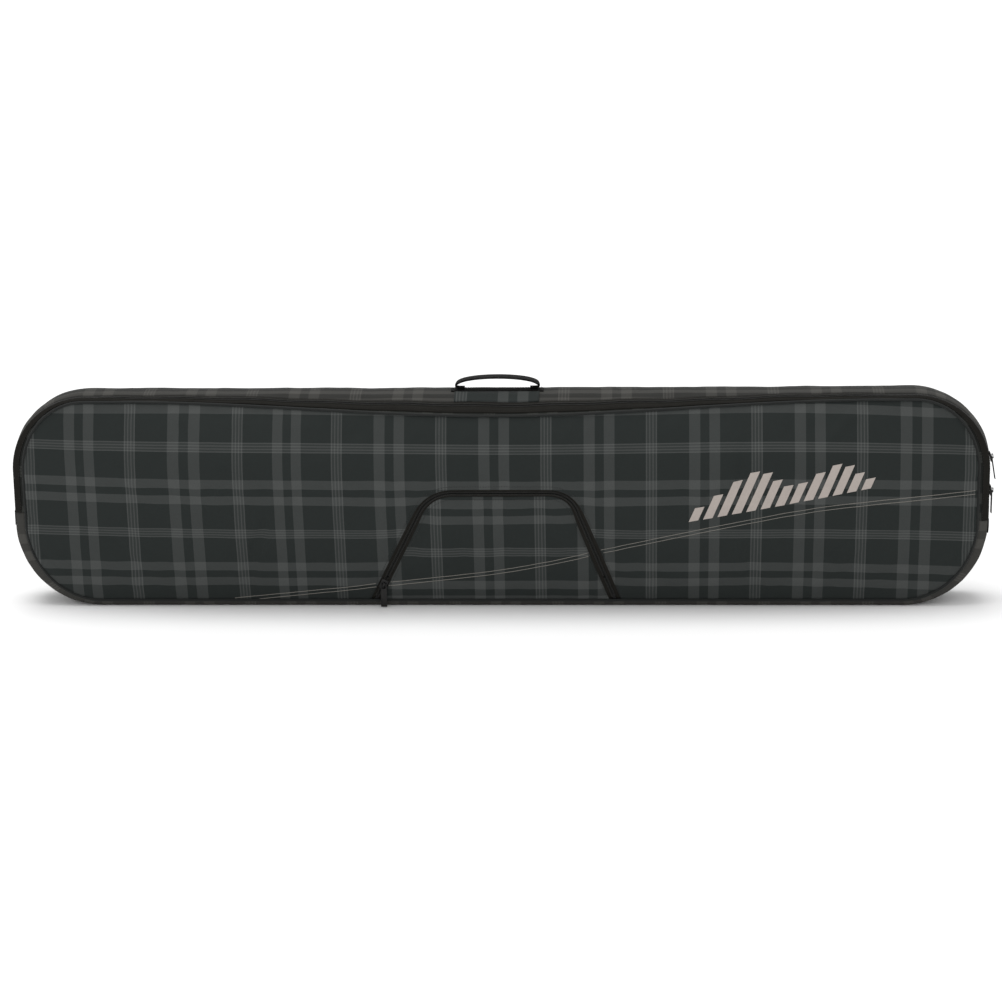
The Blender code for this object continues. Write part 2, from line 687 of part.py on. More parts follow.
def main_slider_frames():
    """Origin, across, along and outward for the lower and the upper slider."""
    centre_x = HALF_LENGTH - TOP_CORNER
    centre_z = BAG_HEIGHT - TOP_CORNER
    radius = TOP_CORNER - TRACK_INSET_END
    lower_at = Vector((centre_x + radius, TRACK_Y, LOWER_SLIDER_Z))
    lower = (lower_at, Vector((0, 1, 0)), Vector((0, 0, 1)), Vector((1, 0, 0)))
    out = Vector((math.cos(UPPER_SLIDER_ANGLE), 0, math.sin(UPPER_SLIDER_ANGLE)))
    upper_at = Vector((centre_x, TRACK_Y, centre_z)) + radius * out
    upper = (upper_at, Vector((0, 1, 0)), Vector((-out.z, 0, out.x)), out)
    return lower, upper


def make_main_sliders():
    for name, frame in zip("ab", main_slider_frames()):
        height = slider_shape("zip_slider_" + name, COIL_ABOVE, COIL_BELOW, frame)
        origin, across, along, outward = frame
        pull_shape("zip_pull_" + name, (origin + height * outward, across, along, outward))


def pocket_slider_frame():
    """The slider's frame on the pocket's left leg."""
    path = pocket_path(0.0, BOTTOM_EDGE_Z)
    foot, top = path[0], path[1]
    at = foot + (top - foot) * ((POCKET_SLIDER_Z - foot.y) / (top.y - foot.y))
    run = Vector((top.x - foot.x, pocket_plane_y(top.y, FRONT_LEAN) - pocket_plane_y(foot.y, FRONT_LEAN)))
    along = Vector((run.x, run.y, top.y - foot.y)).normalized()
    outward = Vector((0, -1, -FRONT_LEAN)).normalized()
    origin = Vector((at.x, pocket_plane_y(at.y, FRONT_LEAN) + COIL_BELOW, at.y))
    return origin, along.cross(outward), along, outward


def make_pocket_slider():
    frame = pocket_slider_frame()
    origin, across, along, outward = frame
    height = slider_shape("pocket_slider", COIL_ABOVE, COIL_BELOW + CLOTH, frame)
    level = Vector((1, 0, 0))
    upright = Vector((0, 0, 1))
    pull_shape("pocket_pull", (origin + height * outward, level, upright, level.cross(upright)))


# ---------------------------------------------------------------- handle


def patch_on_top(reach, v_lines, thickness):
    """A strip that lies on the top of the gusset, a gap above its cloth."""
    stations = [top_station(x) for x in np.linspace(-reach, reach, 5)]
    return gusset_strip(stations, v_lines, GAP + thickness, -GAP)


def line_at_y(y):
    """A line at a fixed Y."""

    def line(station):
        return -y / half_depth(station)

    return line


def make_handle_mounts():
    reach = HANDLE_SPAN / 2 + HANDLE_BASE_OVERHANG
    front = HANDLE_CENTRE_Y - HANDLE_WIDTH / 2
    back = HANDLE_CENTRE_Y + HANDLE_WIDTH / 2
    web_lines = [line_at_y(back), line_at(0.0), line_at_y(front)]
    web = patch_on_top(reach, web_lines, HANDLE_BASE_THICKNESS)
    finish_object("handle_base_web", web, TRIM_BLACK)
    patch_lines = [line_at_y(front - GAP), line_at(CREST_V), line_beside_zip(-ZIP_HALF_WIDTH - 2 * GAP)]
    patch = patch_on_top(HANDLE_SPAN / 2, patch_lines, HANDLE_PATCH_THICKNESS)
    finish_object("handle_patch", patch, CLOTH_BLACK)


def make_handle():
    """A web strap that stands up from two narrow feet and widens into the grip."""
    pivot = Vector((0.0, HANDLE_CENTRE_Y, BAG_HEIGHT + HANDLE_PIVOT_HEIGHT))
    half = (HANDLE_SPAN - HANDLE_WEB) / 2
    rise = HANDLE_HEIGHT - HANDLE_PIVOT_HEIGHT - HANDLE_WEB / 2
    outer, inner = [], []
    steps = 20
    for k in range(steps + 1):
        angle = math.pi * k / steps
        place_x = -half * math.cos(angle)
        height = rise * math.sin(angle) ** 0.5
        out = Vector((place_x / half**2, 0, height / rise**2)).normalized()
        spread = min(1.0, 3.0 * math.sin(angle) ** 1.0)
        width = mix(HANDLE_FOOT_WIDTH, HANDLE_WIDTH, spread) / 2
        centre = pivot + Vector((place_x, 0, height - 0.001))
        for grid, sign in ((outer, 1), (inner, -1)):
            edge = centre + sign * out * HANDLE_WEB / 2
            grid.append([edge + Vector((0, -width, 0)), edge + Vector((0, width, 0))])
    finish_object("handle_loop", grid_solid(outer, inner), TRIM_BLACK, 0.7, pivot=pivot)


def build():
    clear_scene()
    make_panels()
    make_gusset()
    make_piping()
    make_zip()
    make_end_tabs()
    make_main_sliders()
    make_handle_mounts()
    make_handle()
    make_pocket()
    make_pocket_slider()


build()
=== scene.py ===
"""The looks of a padded snowboard bag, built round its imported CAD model.

+X runs along the bag, the front faces -Y and +Z is up. Across the gusset, v runs from -1 at the back seam
to 1 at the front seam. Every cloth piece carries a "cloth" attribute: the place of each point on the flat
cloth, in metres, which its weave and its plaid follow.
"""

import math
from collections import namedtuple

import bmesh
import bpy
import numpy as np
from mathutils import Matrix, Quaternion, Vector, noise
from mathutils.bvhtree import BVHTree


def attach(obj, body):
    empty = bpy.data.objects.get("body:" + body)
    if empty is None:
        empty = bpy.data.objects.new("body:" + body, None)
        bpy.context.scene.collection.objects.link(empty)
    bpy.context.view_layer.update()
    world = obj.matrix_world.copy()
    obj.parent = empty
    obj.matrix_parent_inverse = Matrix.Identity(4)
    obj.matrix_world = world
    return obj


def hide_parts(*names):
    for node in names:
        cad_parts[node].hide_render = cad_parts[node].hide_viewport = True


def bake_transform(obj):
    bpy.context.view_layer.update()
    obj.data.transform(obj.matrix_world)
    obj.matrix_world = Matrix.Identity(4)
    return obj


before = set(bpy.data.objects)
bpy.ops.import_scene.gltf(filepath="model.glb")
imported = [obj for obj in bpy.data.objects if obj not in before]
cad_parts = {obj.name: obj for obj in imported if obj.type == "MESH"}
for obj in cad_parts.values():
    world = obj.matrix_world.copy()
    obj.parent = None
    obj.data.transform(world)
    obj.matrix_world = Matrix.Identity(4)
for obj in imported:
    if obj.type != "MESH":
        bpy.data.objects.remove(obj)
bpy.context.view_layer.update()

# Overall sizes, in metres, as in the CAD model
BAG_LENGTH = 1.575
BAG_HEIGHT = 0.350
TOP_CORNER = 0.125
BOTTOM_CORNER = 0.140
END_HALF_DEPTH = 0.046
TOP_HALF_DEPTH = 0.070
FULL_HALF_LENGTH = 0.600
CREST_V = 0.4
HALF_LENGTH = BAG_LENGTH / 2

# Seam insets, and how far each layer's edge stops short of the seam
END_SEAM_INSET = 0.022
TOP_END_SEAM_INSET = 0.0095
TOP_MIDDLE_SEAM_INSET = 0.028
BOTTOM_SEAM_INSET = 0.010
SKIN_CLEARANCE = 0.0012
LAYER_CLEARANCE = 0.0028
BOTTOM_EDGE_Z = BOTTOM_SEAM_INSET + LAYER_CLEARANCE

# Layers
GAP = 0.0004
CLOTH = 0.0012
LINING = 0.0008
LINING_WRINKLE = 0.0022
FOAM = 0.005
POUCH = 0.0006
GUSSET_CLOTH = 0.003
BINDING_THICKNESS = 0.0006
PIPING_RADIUS = 0.0022

# The panels' bulge
FRONT_LEAN = 0.20
FRONT_INNER_LEAN = 0.05
BACK_LEAN = 0.10
BELLY_HALF_LENGTH = 0.2474
BELLY_POWER = 2.2

# Main zip
ZIP_TRACK_V = 0.75
TRACK_INSET_END = 0.005
TRACK_INSET_MIDDLE = 0.015
ZIP_HALF_WIDTH = 0.0065
BAND_TIP_END = 0.0019
BAND_TIP_MIDDLE = 0.0033
BAND_TILT_RUN = 0.07
ZIP_WAVES = ((0.0007, 0.019, 0.0), (0.0005, 0.047, 1.0))
COIL_SLOT = 0.0004
COIL_EDGE = 0.0037
COIL_BELOW = 0.0005
COIL_ABOVE = 0.0015
TAPE_OVER_STRIP = (0.12, 0.30, 0.48, 0.64)
TAPE_THICKNESS = 0.0008
TAPE_LIFT = 0.0004
TAPE_LIFT_OVER_STRIP = 0.0014
ZIP_LEFT_END_Z = 0.158
ZIP_RIGHT_END_Z = 0.142
TAB_LENGTH = 0.022
TAB_HALF_WIDTH = 0.0062
TAB_THICKNESS = 0.0015
TOOTH_PITCH = 0.0017
TOOTH_SHARE = 0.72

# Handle
HANDLE_SPAN = 0.136
HANDLE_HEIGHT = 0.023
HANDLE_WEB = 0.003
HANDLE_THICKNESS = 0.0036
HANDLE_WIDTH = 0.025
HANDLE_FOOT_WIDTH = 0.0075
HANDLE_PIVOT_Z = BAG_HEIGHT + 0.0064
HANDLE_CENTRE_Y = -0.001
HANDLE_FRONT_Y = HANDLE_CENTRE_Y - HANDLE_WIDTH / 2
HANDLE_BACK_Y = HANDLE_CENTRE_Y + HANDLE_WIDTH / 2
HANDLE_BASE_OVERHANG = 0.006
BASE_STRAP_THICKNESS = 0.0011
PATCH_THICKNESS = 0.0010
MOUNT_LIFT = 0.0012

# Pocket zip's centreline, seen from the front
POCKET_LEFT_X = -0.1994
POCKET_RIGHT_X = 0.1870
POCKET_TOP_LEFT_X = -0.1084
POCKET_TOP_RIGHT_X = 0.1155
POCKET_TOP_Z = 0.1987
POCKET_LEFT_RADIUS = 0.060
POCKET_RIGHT_RADIUS = 0.046
POCKET_FOLD_Z = 0.052
FOLD_HALF_BAND = 0.0035
BARE_TAPE_LEFT = 0.0078
BARE_TAPE_RIGHT = 0.0092
BARE_TAPE_TOP = 0.0058
TAPE_HALF_WIDTH = 0.0112
POCKET_TAPE_THICKNESS = 0.0007
TAPE_SINK = 0.0005
POUCH_MARGIN = 0.014
KNEE = (POCKET_TOP_Z + POUCH_MARGIN + 0.0019 - BOTTOM_EDGE_Z) / (
    BAG_HEIGHT - TOP_MIDDLE_SEAM_INSET - LAYER_CLEARANCE - BOTTOM_EDGE_Z
)

# The plaid: one repeat along and one down, and where a group of four fine lines starts on each piece
PLAID_ALONG = 0.1665
PLAID_DOWN = 0.1424
PANEL_PLAID = (-0.0960, 0.2805)
FLAP_PLAID = (-0.1070, 0.2465)
GUSSET_PLAID = (0.0980, 0.1085)
STRIP_PLAID = (-0.0190, 0.0100)
PATCH_PLAID = (-0.0510, 0.0600)

# The two contrast lines run along this curve, as (x, z), and the printed graphic stands above it
LINE_CURVE = (
    (-0.43, 0.0105),
    (-0.19, 0.0378),
    (0.05, 0.0695),
    (0.25, 0.1170),
    (0.50, 0.1675),
    (0.76, 0.1898),
)
LINE_SPACING = 0.0060
LINE_WIDTH = 0.0011
GRAPHIC_START = (0.305, 0.1500)
GRAPHIC_SLOPE = 0.185
GRAPHIC_LENGTH = 0.295
GRAPHIC_BARS = 13
GRAPHIC_SLANT = 0.45
GRAPHIC_BASE = 0.010
GRAPHIC_PEAKS = ((0.28, 0.20, 0.060), (0.74, 0.17, 0.044))

# Mesh steps
PANEL_STEP = 0.0075
STRIP_STEP = 0.005
FINE_STEP = 0.004
HANDLE_STEP = 0.0022

# The cloth simulation: its frames, how much larger the cloth is than its panel, the share of the swelling
# that is kept, and the share of the cap that the cloth may move inwards
SIM_FRAMES = 18
CLOTH_GROWTH = 0.006
SWELL_KEPT = 0.25
INWARD_SHARE = 0.05

# How far the cloth stands proud of its padding before it is dented, how deep a dent may go, and the sizes and
# heights of the broad swells, the smaller dimples and the puckers beside the seams
PUFF = 0.0020
DEEPEST_DENT = 0.0006
SWELL_SIZE = 0.11
SWELL_HEIGHT = 0.0024
DIMPLE_SIZE = 0.035
DIMPLE_HEIGHT = 0.0011
PUCKER_SIZE = 0.013
PUCKER_HEIGHT = 0.0028

# Stitches: each is four rings of thread, as (share of its length, rise in thread radii)
STITCH_PITCH = 0.0042
STITCH_LENGTH = 0.0028
STITCH_LIFT = 0.0002
THREAD_RADIUS = 0.00032
STITCH_RINGS = ((0.0, -1.5), (0.25, 0.2), (0.75, 0.2), (1.0, -1.5))

Station = namedtuple("Station", "centre_x centre_z radius way_x way_z low")
scene = bpy.context.scene


# ---------------------------------------------------------------- the bag's outline, as in the CAD model


def mix(a, b, t):
    return a + (b - a) * t


def smooth(t):
    """A smooth step from 0 to 1, for a number or an array."""
    t = np.clip(t, 0.0, 1.0)
    return t * t * (3.0 - 2.0 * t)


def hump(x, centre, width):
    """A smooth hump of height 1."""
    return np.exp(-(((x - centre) / width) ** 2))


def hermite(t, start, start_slope, end, end_slope):
    """A cubic from one value and slope at t = 0 to another at t = 1."""
    rising = 3 * t**2 - 2 * t**3
    curve = (t**3 - 2 * t**2 + t) * start_slope + (t**3 - t**2) * end_slope
    return mix(start, end, rising) + curve


def signed_power(value, power):
    return math.copysign(abs(value) ** power, value)


def fullness(x):
    """How full the bag is at x: 1 in the middle, falling smoothly to 0 towards the ends."""
    return smooth(1.0 - abs(x) / FULL_HALF_LENGTH)


def spread(a, b, step):
    """Evenly spaced values from a to b, about a step apart."""
    return np.linspace(a, b, max(2, int(round(abs(b - a) / step)) + 1))


def unit(rows):
    return rows / np.linalg.norm(rows, axis=1, keepdims=True)


def lengths_along(points):
    """The distance along a polyline at each of its points."""
    return np.concatenate(([0.0], np.cumsum(np.linalg.norm(np.diff(points, axis=0), axis=1))))


def at_lengths(points, wanted):
    """The points of a polyline at the wanted distances along it."""
    length = lengths_along(points)
    return np.stack([np.interp(wanted, length, points[:, k]) for k in range(points.shape[1])], axis=1)


def even_points(points, step):
    """Points about a step apart along a polyline."""
    return at_lengths(points, spread(0.0, lengths_along(points)[-1], step))


def even_rows(points, rows):
    """A given number of points at even distances along a polyline."""
    return at_lengths(points, np.linspace(0.0, lengths_along(points)[-1], rows))


# A station is a place along the gusset: the centre and radius of its bend, the way out of the bag, and low,
# which is 1 along the bottom and 0 everywhere above the bottom corners.


def end_station(side, z):
    return Station(side * (HALF_LENGTH - TOP_CORNER), z, TOP_CORNER, side, 0.0, 0.0)


def top_station(x):
    return Station(x, BAG_HEIGHT - TOP_CORNER, TOP_CORNER, 0.0, 1.0, 0.0)


def bottom_station(x):
    return Station(x, BOTTOM_CORNER, BOTTOM_CORNER, 0.0, -1.0, 1.0)


def top_corner_station(side, angle):
    centre = side * (HALF_LENGTH - TOP_CORNER)
    return Station(centre, BAG_HEIGHT - TOP_CORNER, TOP_CORNER, side * math.cos(angle), math.sin(angle), 0.0)


def bottom_corner_station(side, angle):
    centre = side * (HALF_LENGTH - BOTTOM_CORNER)
    way = (side * math.cos(angle), -math.sin(angle))
    return Station(centre, BOTTOM_CORNER, BOTTOM_CORNER, way[0], way[1], math.sin(angle))


def zip_stations(step):
    """From the zip's right end up, along the top and down to its left end."""
    corner_bottom = BAG_HEIGHT - TOP_CORNER
    reach = HALF_LENGTH - TOP_CORNER
    turn = step / TOP_CORNER
    stations = [end_station(1, z) for z in spread(ZIP_RIGHT_END_Z, corner_bottom, step)]
    stations += [top_corner_station(1, a) for a in spread(0, math.pi / 2, turn)[1:]]
    stations += [top_station(x) for x in spread(reach, -reach, step)[1:]]
    stations += [top_corner_station(-1, a) for a in spread(math.pi / 2, 0, turn)[1:]]
    stations += [end_station(-1, z) for z in spread(corner_bottom, ZIP_LEFT_END_Z, step)[1:]]
    return stations


def base_stations(step):
    """From the zip's left end down, along the bottom and up to its right end."""
    reach = HALF_LENGTH - BOTTOM_CORNER
    turn = step / BOTTOM_CORNER
    stations = [end_station(-1, z) for z in spread(ZIP_LEFT_END_Z - GAP, BOTTOM_CORNER, step)]
    stations += [bottom_corner_station(-1, a) for a in spread(0, math.pi / 2, turn)[1:]]
    stations += [bottom_station(x) for x in spread(-reach, reach, step)[1:]]
    stations += [bottom_corner_station(1, a) for a in spread(math.pi / 2, 0, turn)[1:]]
    stations.append(end_station(1, ZIP_RIGHT_END_Z - GAP))
    return stations


def station_fullness(station):
    return fullness(station.centre_x) if station.way_z > 0.999 else 0.0


def half_depth(station):
    return mix(END_HALF_DEPTH, TOP_HALF_DEPTH, station_fullness(station))


def track_inset(station):
    """How far the gusset drops from the outline at the zip."""
    return mix(TRACK_INSET_END, TRACK_INSET_MIDDLE, station_fullness(station)) * (1.0 - station.low)


def band_v(station, offset):
    """v at a distance from the zip's centreline, positive towards the front."""
    return ZIP_TRACK_V + offset / half_depth(station)


def band_tilt(station):
    """How far the zip band tips towards the front: 1 along the top, and 0 round the corners and ends."""
    if station.way_z < 0.999:
        return 0.0
    return smooth((HALF_LENGTH - TOP_CORNER - abs(station.centre_x)) / BAND_TILT_RUN)


def zip_wave(station):
    """The sewn-in zip isn't quite straight along the top."""
    waves = [height * math.sin(station.centre_x / run + phase) for height, run, phase in ZIP_WAVES]
    return band_tilt(station) * sum(waves)


def gusset_point(station, v):
    inner = band_v(station, -ZIP_HALF_WIDTH)
    outer = band_v(station, ZIP_HALF_WIDTH)
    knots = (0.0, CREST_V, inner, outer, 1.0)
    track = track_inset(station)
    if station.low > 0:
        seam_z = BOTTOM_SEAM_INSET
    else:
        seam_z = mix(TOP_END_SEAM_INSET, TOP_MIDDLE_SEAM_INSET, station_fullness(station))
    tip = band_tilt(station) * mix(BAND_TIP_END, BAND_TIP_MIDDLE, station_fullness(station))
    inset_x = np.interp(abs(v), knots, (0.0, 0.25 * track, track, track, END_SEAM_INSET))
    wave = zip_wave(station) if v > 0 else 0.0
    inset_z = np.interp(abs(v), knots, (0.0, 0.25 * track, track - tip + wave, track + tip + wave, seam_z))
    x = station.centre_x + station.way_x * (station.radius - inset_x)
    z = station.centre_z + station.way_z * (station.radius - inset_z)
    return (x, -v * half_depth(station), z)


def panel_end_x(clearance):
    return HALF_LENGTH - END_SEAM_INSET - clearance


def panel_edges(x, clearance):
    """The panels' lower and upper edges at x."""
    along = abs(x)
    low = BOTTOM_SEAM_INSET + clearance
    drop = mix(TOP_END_SEAM_INSET, TOP_MIDDLE_SEAM_INSET, fullness(x)) + clearance
    high = BAG_HEIGHT - drop
    inset = END_SEAM_INSET + clearance
    if along > HALF_LENGTH - BOTTOM_CORNER:
        across = (along - HALF_LENGTH + BOTTOM_CORNER) / (BOTTOM_CORNER - inset)
        low = BOTTOM_CORNER - (BOTTOM_CORNER - low) * math.sqrt(max(0.0, 1.0 - across**2))
    if along > HALF_LENGTH - TOP_CORNER:
        across = (along - HALF_LENGTH + TOP_CORNER) / (TOP_CORNER - inset)
        rise = TOP_CORNER - TOP_END_SEAM_INSET - clearance
        high = BAG_HEIGHT - TOP_CORNER + rise * math.sqrt(max(0.0, 1.0 - across**2))
    return low, high


def belly(x):
    """How much of the full bulge the panels have at x."""
    end = panel_end_x(LAYER_CLEARANCE)
    beyond = max(0.0, abs(x) - BELLY_HALF_LENGTH) / (end - BELLY_HALF_LENGTH)
    return 1.0 - min(1.0, beyond) ** BELLY_POWER


def bulge(x, z, lean):
    """How far a panel stands out from the plane of its bottom seam."""
    low, high = panel_edges(x, LAYER_CLEARANCE)
    height = max(high - low, 0.02)
    slope = lean * belly(x)
    rise = (z - low) / height
    if rise <= KNEE:
        return slope * (z - low)
    t = min(1.0, (rise - KNEE) / (1.0 - KNEE))
    knee_out = slope * KNEE * height
    knee_slope = slope * height * (1.0 - KNEE)
    top_out = (TOP_HALF_DEPTH - END_HALF_DEPTH) * fullness(x)
    return hermite(t, knee_out, knee_slope, top_out, -2 * knee_slope)


# ---------------------------------------------------------------- meshes


def read_points(mesh):
    points = np.empty(len(mesh.vertices) * 3)
    mesh.vertices.foreach_get("co", points)
    return points.reshape(-1, 3)


def read_normals(mesh):
    normals = np.empty(len(mesh.vertices) * 3, np.float32)
    mesh.vertex_normals.foreach_get("vector", normals)
    return normals.reshape(-1, 3).astype(float)


def set_cloth(mesh, places):
    attribute = mesh.attributes.get("cloth") or mesh.attributes.new("cloth", "FLOAT_VECTOR", "POINT")
    flat = np.zeros((len(places), 3), np.float32)
    flat[:, : places.shape[1]] = places
    attribute.data.foreach_set("vector", flat.ravel())


def read_cloth(mesh):
    places = np.empty(len(mesh.vertices) * 3, np.float32)
    mesh.attributes["cloth"].data.foreach_get("vector", places)
    return places.reshape(-1, 3).astype(float)


def make_object(name, points, faces, places=None):
    mesh = bpy.data.meshes.new(name)
    mesh.from_pydata([tuple(p) for p in points], [], faces)
    mesh.update()
    if places is not None:
        set_cloth(mesh, np.asarray(places, float))
    obj = bpy.data.objects.new(name, mesh)
    scene.collection.objects.link(obj)
    return obj


def dress(obj, body, materials, nodes=()):
    """Gives a piece its materials and the body it rides on, and hides the CAD nodes it stands for."""
    for material in materials:
        obj.data.materials.append(material)
    obj.data.shade_smooth()
    if nodes:
        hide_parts(*nodes)
    if body is not None:
        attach(obj, body)
    return obj


def grid_faces(rows, columns, closed=False):
    faces = []
    for i in range(rows if closed else rows - 1):
        j = (i + 1) % rows
        for k in range(columns - 1):
            faces.append((i * columns + k, j * columns + k, j * columns + k + 1, i * columns + k + 1))
    return faces


def face_outwards(obj, centre=(0.0, 0.0, BAG_HEIGHT / 2)):
    """Turns a sheet's faces away from a centre, or from a centre for each point, judged over the sheet."""
    points, normals = read_points(obj.data), read_normals(obj.data)
    if np.sum((points - centre) * normals) < 0:
        obj.data.flip_normals()
        obj.data.update()


def subdivide(obj):
    """One level of subdivision, applied."""
    modifier = obj.modifiers.new("fine", "SUBSURF")
    modifier.levels = 1
    modifier.render_levels = 1
    modifier.boundary_smooth = "PRESERVE_CORNERS"
    bpy.context.view_layer.update()
    fine = bpy.data.meshes.new_from_object(obj.evaluated_get(bpy.context.evaluated_depsgraph_get()))
    obj.modifiers.remove(modifier)
    obj.data = fine


def thicken(obj, thickness):
    """Gives a sheet its cloth's thickness. The inner side takes the second material, the rim the first."""
    mesh = obj.data
    points, normals, places = read_points(mesh), read_normals(mesh), read_cloth(mesh)
    faces = [tuple(face.vertices) for face in mesh.polygons]
    count = len(points)
    seen = {}
    for face in faces:
        for a, b in zip(face, face[1:] + face[:1]):
            if seen.pop((b, a), None) is None:
                seen[(a, b)] = True
    inner = [tuple(v + count for v in reversed(face)) for face in faces]
    rim = [(b, a, a + count, b + count) for a, b in seen]
    every = faces + inner + rim
    solid = bpy.data.meshes.new(obj.name)
    solid.from_pydata(np.vstack((points, points - thickness * normals)).tolist(), [], every)
    solid.update()
    set_cloth(solid, np.vstack((places, places)))
    solid.polygons.foreach_set("material_index", [0] * len(faces) + [1] * len(inner) + [0] * len(rim))
    obj.data = solid


def neighbours(mesh):
    pairs = np.empty(len(mesh.edges) * 2, np.int32)
    mesh.edges.foreach_get("vertices", pairs)
    return pairs.reshape(-1, 2)


def averaged(values, pairs, rounds):
    """Values smoothed over the mesh's edges."""
    degree = np.bincount(pairs.ravel(), minlength=len(values)).clip(1)
    for _ in range(rounds):
        total = np.bincount(pairs[:, 0], values[pairs[:, 1]], len(values))
        total += np.bincount(pairs[:, 1], values[pairs[:, 0]], len(values))
        values = 0.5 * values + 0.5 * total / degree
    return values


def simulate(obj, held, pressure, cap):
    """Lets the cloth fill from inside while the held points stay. A share of the swelling and all of the
    wrinkles are kept, as a move along the sheet's normals of at most cap."""
    group = obj.vertex_groups.new(name="held")
    group.add([int(i) for i in np.nonzero(held)[0]], 1.0, "REPLACE")
    cloth = obj.modifiers.new("cloth", "CLOTH")
    settings = cloth.settings
    settings.quality = 4
    settings.mass = 0.25
    settings.tension_stiffness = 25.0
    settings.compression_stiffness = 25.0
    settings.shear_stiffness = 8.0
    settings.bending_stiffness = 1.2
    settings.vertex_group_mass = group.name
    settings.use_pressure = True
    settings.uniform_pressure_force = pressure
    settings.shrink_min = -CLOTH_GROWTH
    settings.effector_weights.gravity = 0.0
    cloth.collision_settings.use_collision = False
    cloth.point_cache.frame_start = 1
    cloth.point_cache.frame_end = SIM_FRAMES
    for number in range(1, SIM_FRAMES + 1):
        scene.frame_set(number)
    moved = obj.evaluated_get(bpy.context.evaluated_depsgraph_get())
    points, normals = read_points(obj.data), read_normals(obj.data)
    out = np.sum((read_points(moved.data) - points) * normals, axis=1)
    obj.modifiers.remove(cloth)
    obj.vertex_groups.clear()
    scene.frame_set(1)
    calm = averaged(out, neighbours(obj.data), 25)
    kept = SWELL_KEPT * calm + (out - calm)
    kept = cap * np.tanh(kept / cap)
    kept[held] = 0.0
    move_along_normals(obj, np.maximum(kept, -INWARD_SHARE * cap))


def move_along_normals(obj, out):
    points = read_points(obj.data) + read_normals(obj.data) * out[:, None]
    obj.data.vertices.foreach_set("co", points.ravel())
    obj.data.update()


def ripple(places, size, seed):
    """Smooth noise between about -1 and 1 over the flat cloth, with features of a given size."""
    return np.array([noise.noise((p[0] / size + seed, p[1] / size, seed * 0.37)) for p in places])


def boundary(mesh):
    """Which points lie on an open edge."""
    count = {}
    for face in mesh.polygons:
        for key in face.edge_keys:
            count[key] = count.get(key, 0) + 1
    held = np.zeros(len(mesh.vertices), bool)
    for (a, b), uses in count.items():
        if uses == 1:
            held[a] = True
            held[b] = True
    return held


def edge_share(mesh, reach_rounds):
    """1 on the open edges, falling to 0 over a few cells."""
    near = boundary(mesh).astype(float)
    pairs = neighbours(mesh)
    for _ in range(reach_rounds):
        spreading = near.copy()
        np.maximum.at(spreading, pairs[:, 0], near[pairs[:, 1]] - 1.0 / reach_rounds)
        np.maximum.at(spreading, pairs[:, 1], near[pairs[:, 0]] - 1.0 / reach_rounds)
        near = spreading
    return near.clip(0.0, 1.0)


# ---------------------------------------------------------------- materials


def linear(*srgb):
    """A colour given as 0 to 255 display values, as scene-linear values."""
    values = []
    for value in srgb:
        share = value / 255.0
        values.append(share / 12.92 if share <= 0.04045 else ((share + 0.055) / 1.055) ** 2.4)
    return tuple(values) + (1.0,)


class Nodes:
    """Short ways to add and join one material's nodes."""

    def __init__(self, name):
        self.material = bpy.data.materials.new(name)
        self.material.use_nodes = True
        self.tree = self.material.node_tree
        self.shader = self.tree.nodes["Principled BSDF"]

    def put(self, socket, value):
        if isinstance(value, bpy.types.NodeSocket):
            self.tree.links.new(value, socket)
        else:
            socket.default_value = value

    def math(self, operation, a, b=0.0, c=0.0):
        node = self.tree.nodes.new("ShaderNodeMath")
        node.operation = operation
        for socket, value in zip(node.inputs, (a, b, c)):
            self.put(socket, value)
        return node.outputs[0]

    def mix_colour(self, factor, a, b, blend="MIX"):
        node = self.tree.nodes.new("ShaderNodeMix")
        node.data_type = "RGBA"
        node.blend_type = blend
        node.clamp_factor = False
        self.put(node.inputs[0], factor)
        self.put(node.inputs[6], a)
        self.put(node.inputs[7], b)
        return node.outputs[2]

    def ramp(self, factor, stops, interpolation="LINEAR"):
        node = self.tree.nodes.new("ShaderNodeValToRGB")
        node.color_ramp.interpolation = interpolation
        elements = node.color_ramp.elements
        while len(elements) < len(stops):
            elements.new(0.5)
        for element, (place, value) in zip(elements, sorted(stops)):
            element.position = place
            element.color = (value, value, value, 1.0)
        self.put(node.inputs[0], factor)
        return node.outputs[0]

    def noise(self, vector, scale, detail=2.0, roughness=0.5):
        node = self.tree.nodes.new("ShaderNodeTexNoise")
        node.inputs["Scale"].default_value = scale
        node.inputs["Detail"].default_value = detail
        node.inputs["Roughness"].default_value = roughness
        self.put(node.inputs["Vector"], vector)
        return node.outputs["Fac"]

    def cloth_place(self):
        node = self.tree.nodes.new("ShaderNodeAttribute")
        node.attribute_name = "cloth"
        return node.outputs["Vector"]

    def object_place(self):
        return self.tree.nodes.new("ShaderNodeTexCoord").outputs["Object"]

    def pointiness(self):
        return self.tree.nodes.new("ShaderNodeNewGeometry").outputs["Pointiness"]

    def split(self, vector):
        node = self.tree.nodes.new("ShaderNodeSeparateXYZ")
        self.put(node.inputs[0], vector)
        return node.outputs

    def bump(self, height, strength, distance, before=None):
        node = self.tree.nodes.new("ShaderNodeBump")
        node.inputs["Strength"].default_value = strength
        node.inputs["Distance"].default_value = distance
        self.put(node.inputs["Height"], height)
        if before is not None:
            self.put(node.inputs["Normal"], before)
        return node.outputs[0]

    def finish(self, colour, rough, normal=None, metallic=0.0, sheen=0.0, specular=0.4):
        self.put(self.shader.inputs["Base Color"], colour)
        self.put(self.shader.inputs["Roughness"], rough)
        self.shader.inputs["Metallic"].default_value = metallic
        self.shader.inputs["Specular IOR Level"].default_value = specular
        self.shader.inputs["Sheen Weight"].default_value = sheen
        self.shader.inputs["Sheen Roughness"].default_value = 0.45
        if normal is not None:
            self.put(self.shader.inputs["Normal"], normal)
        return self.material


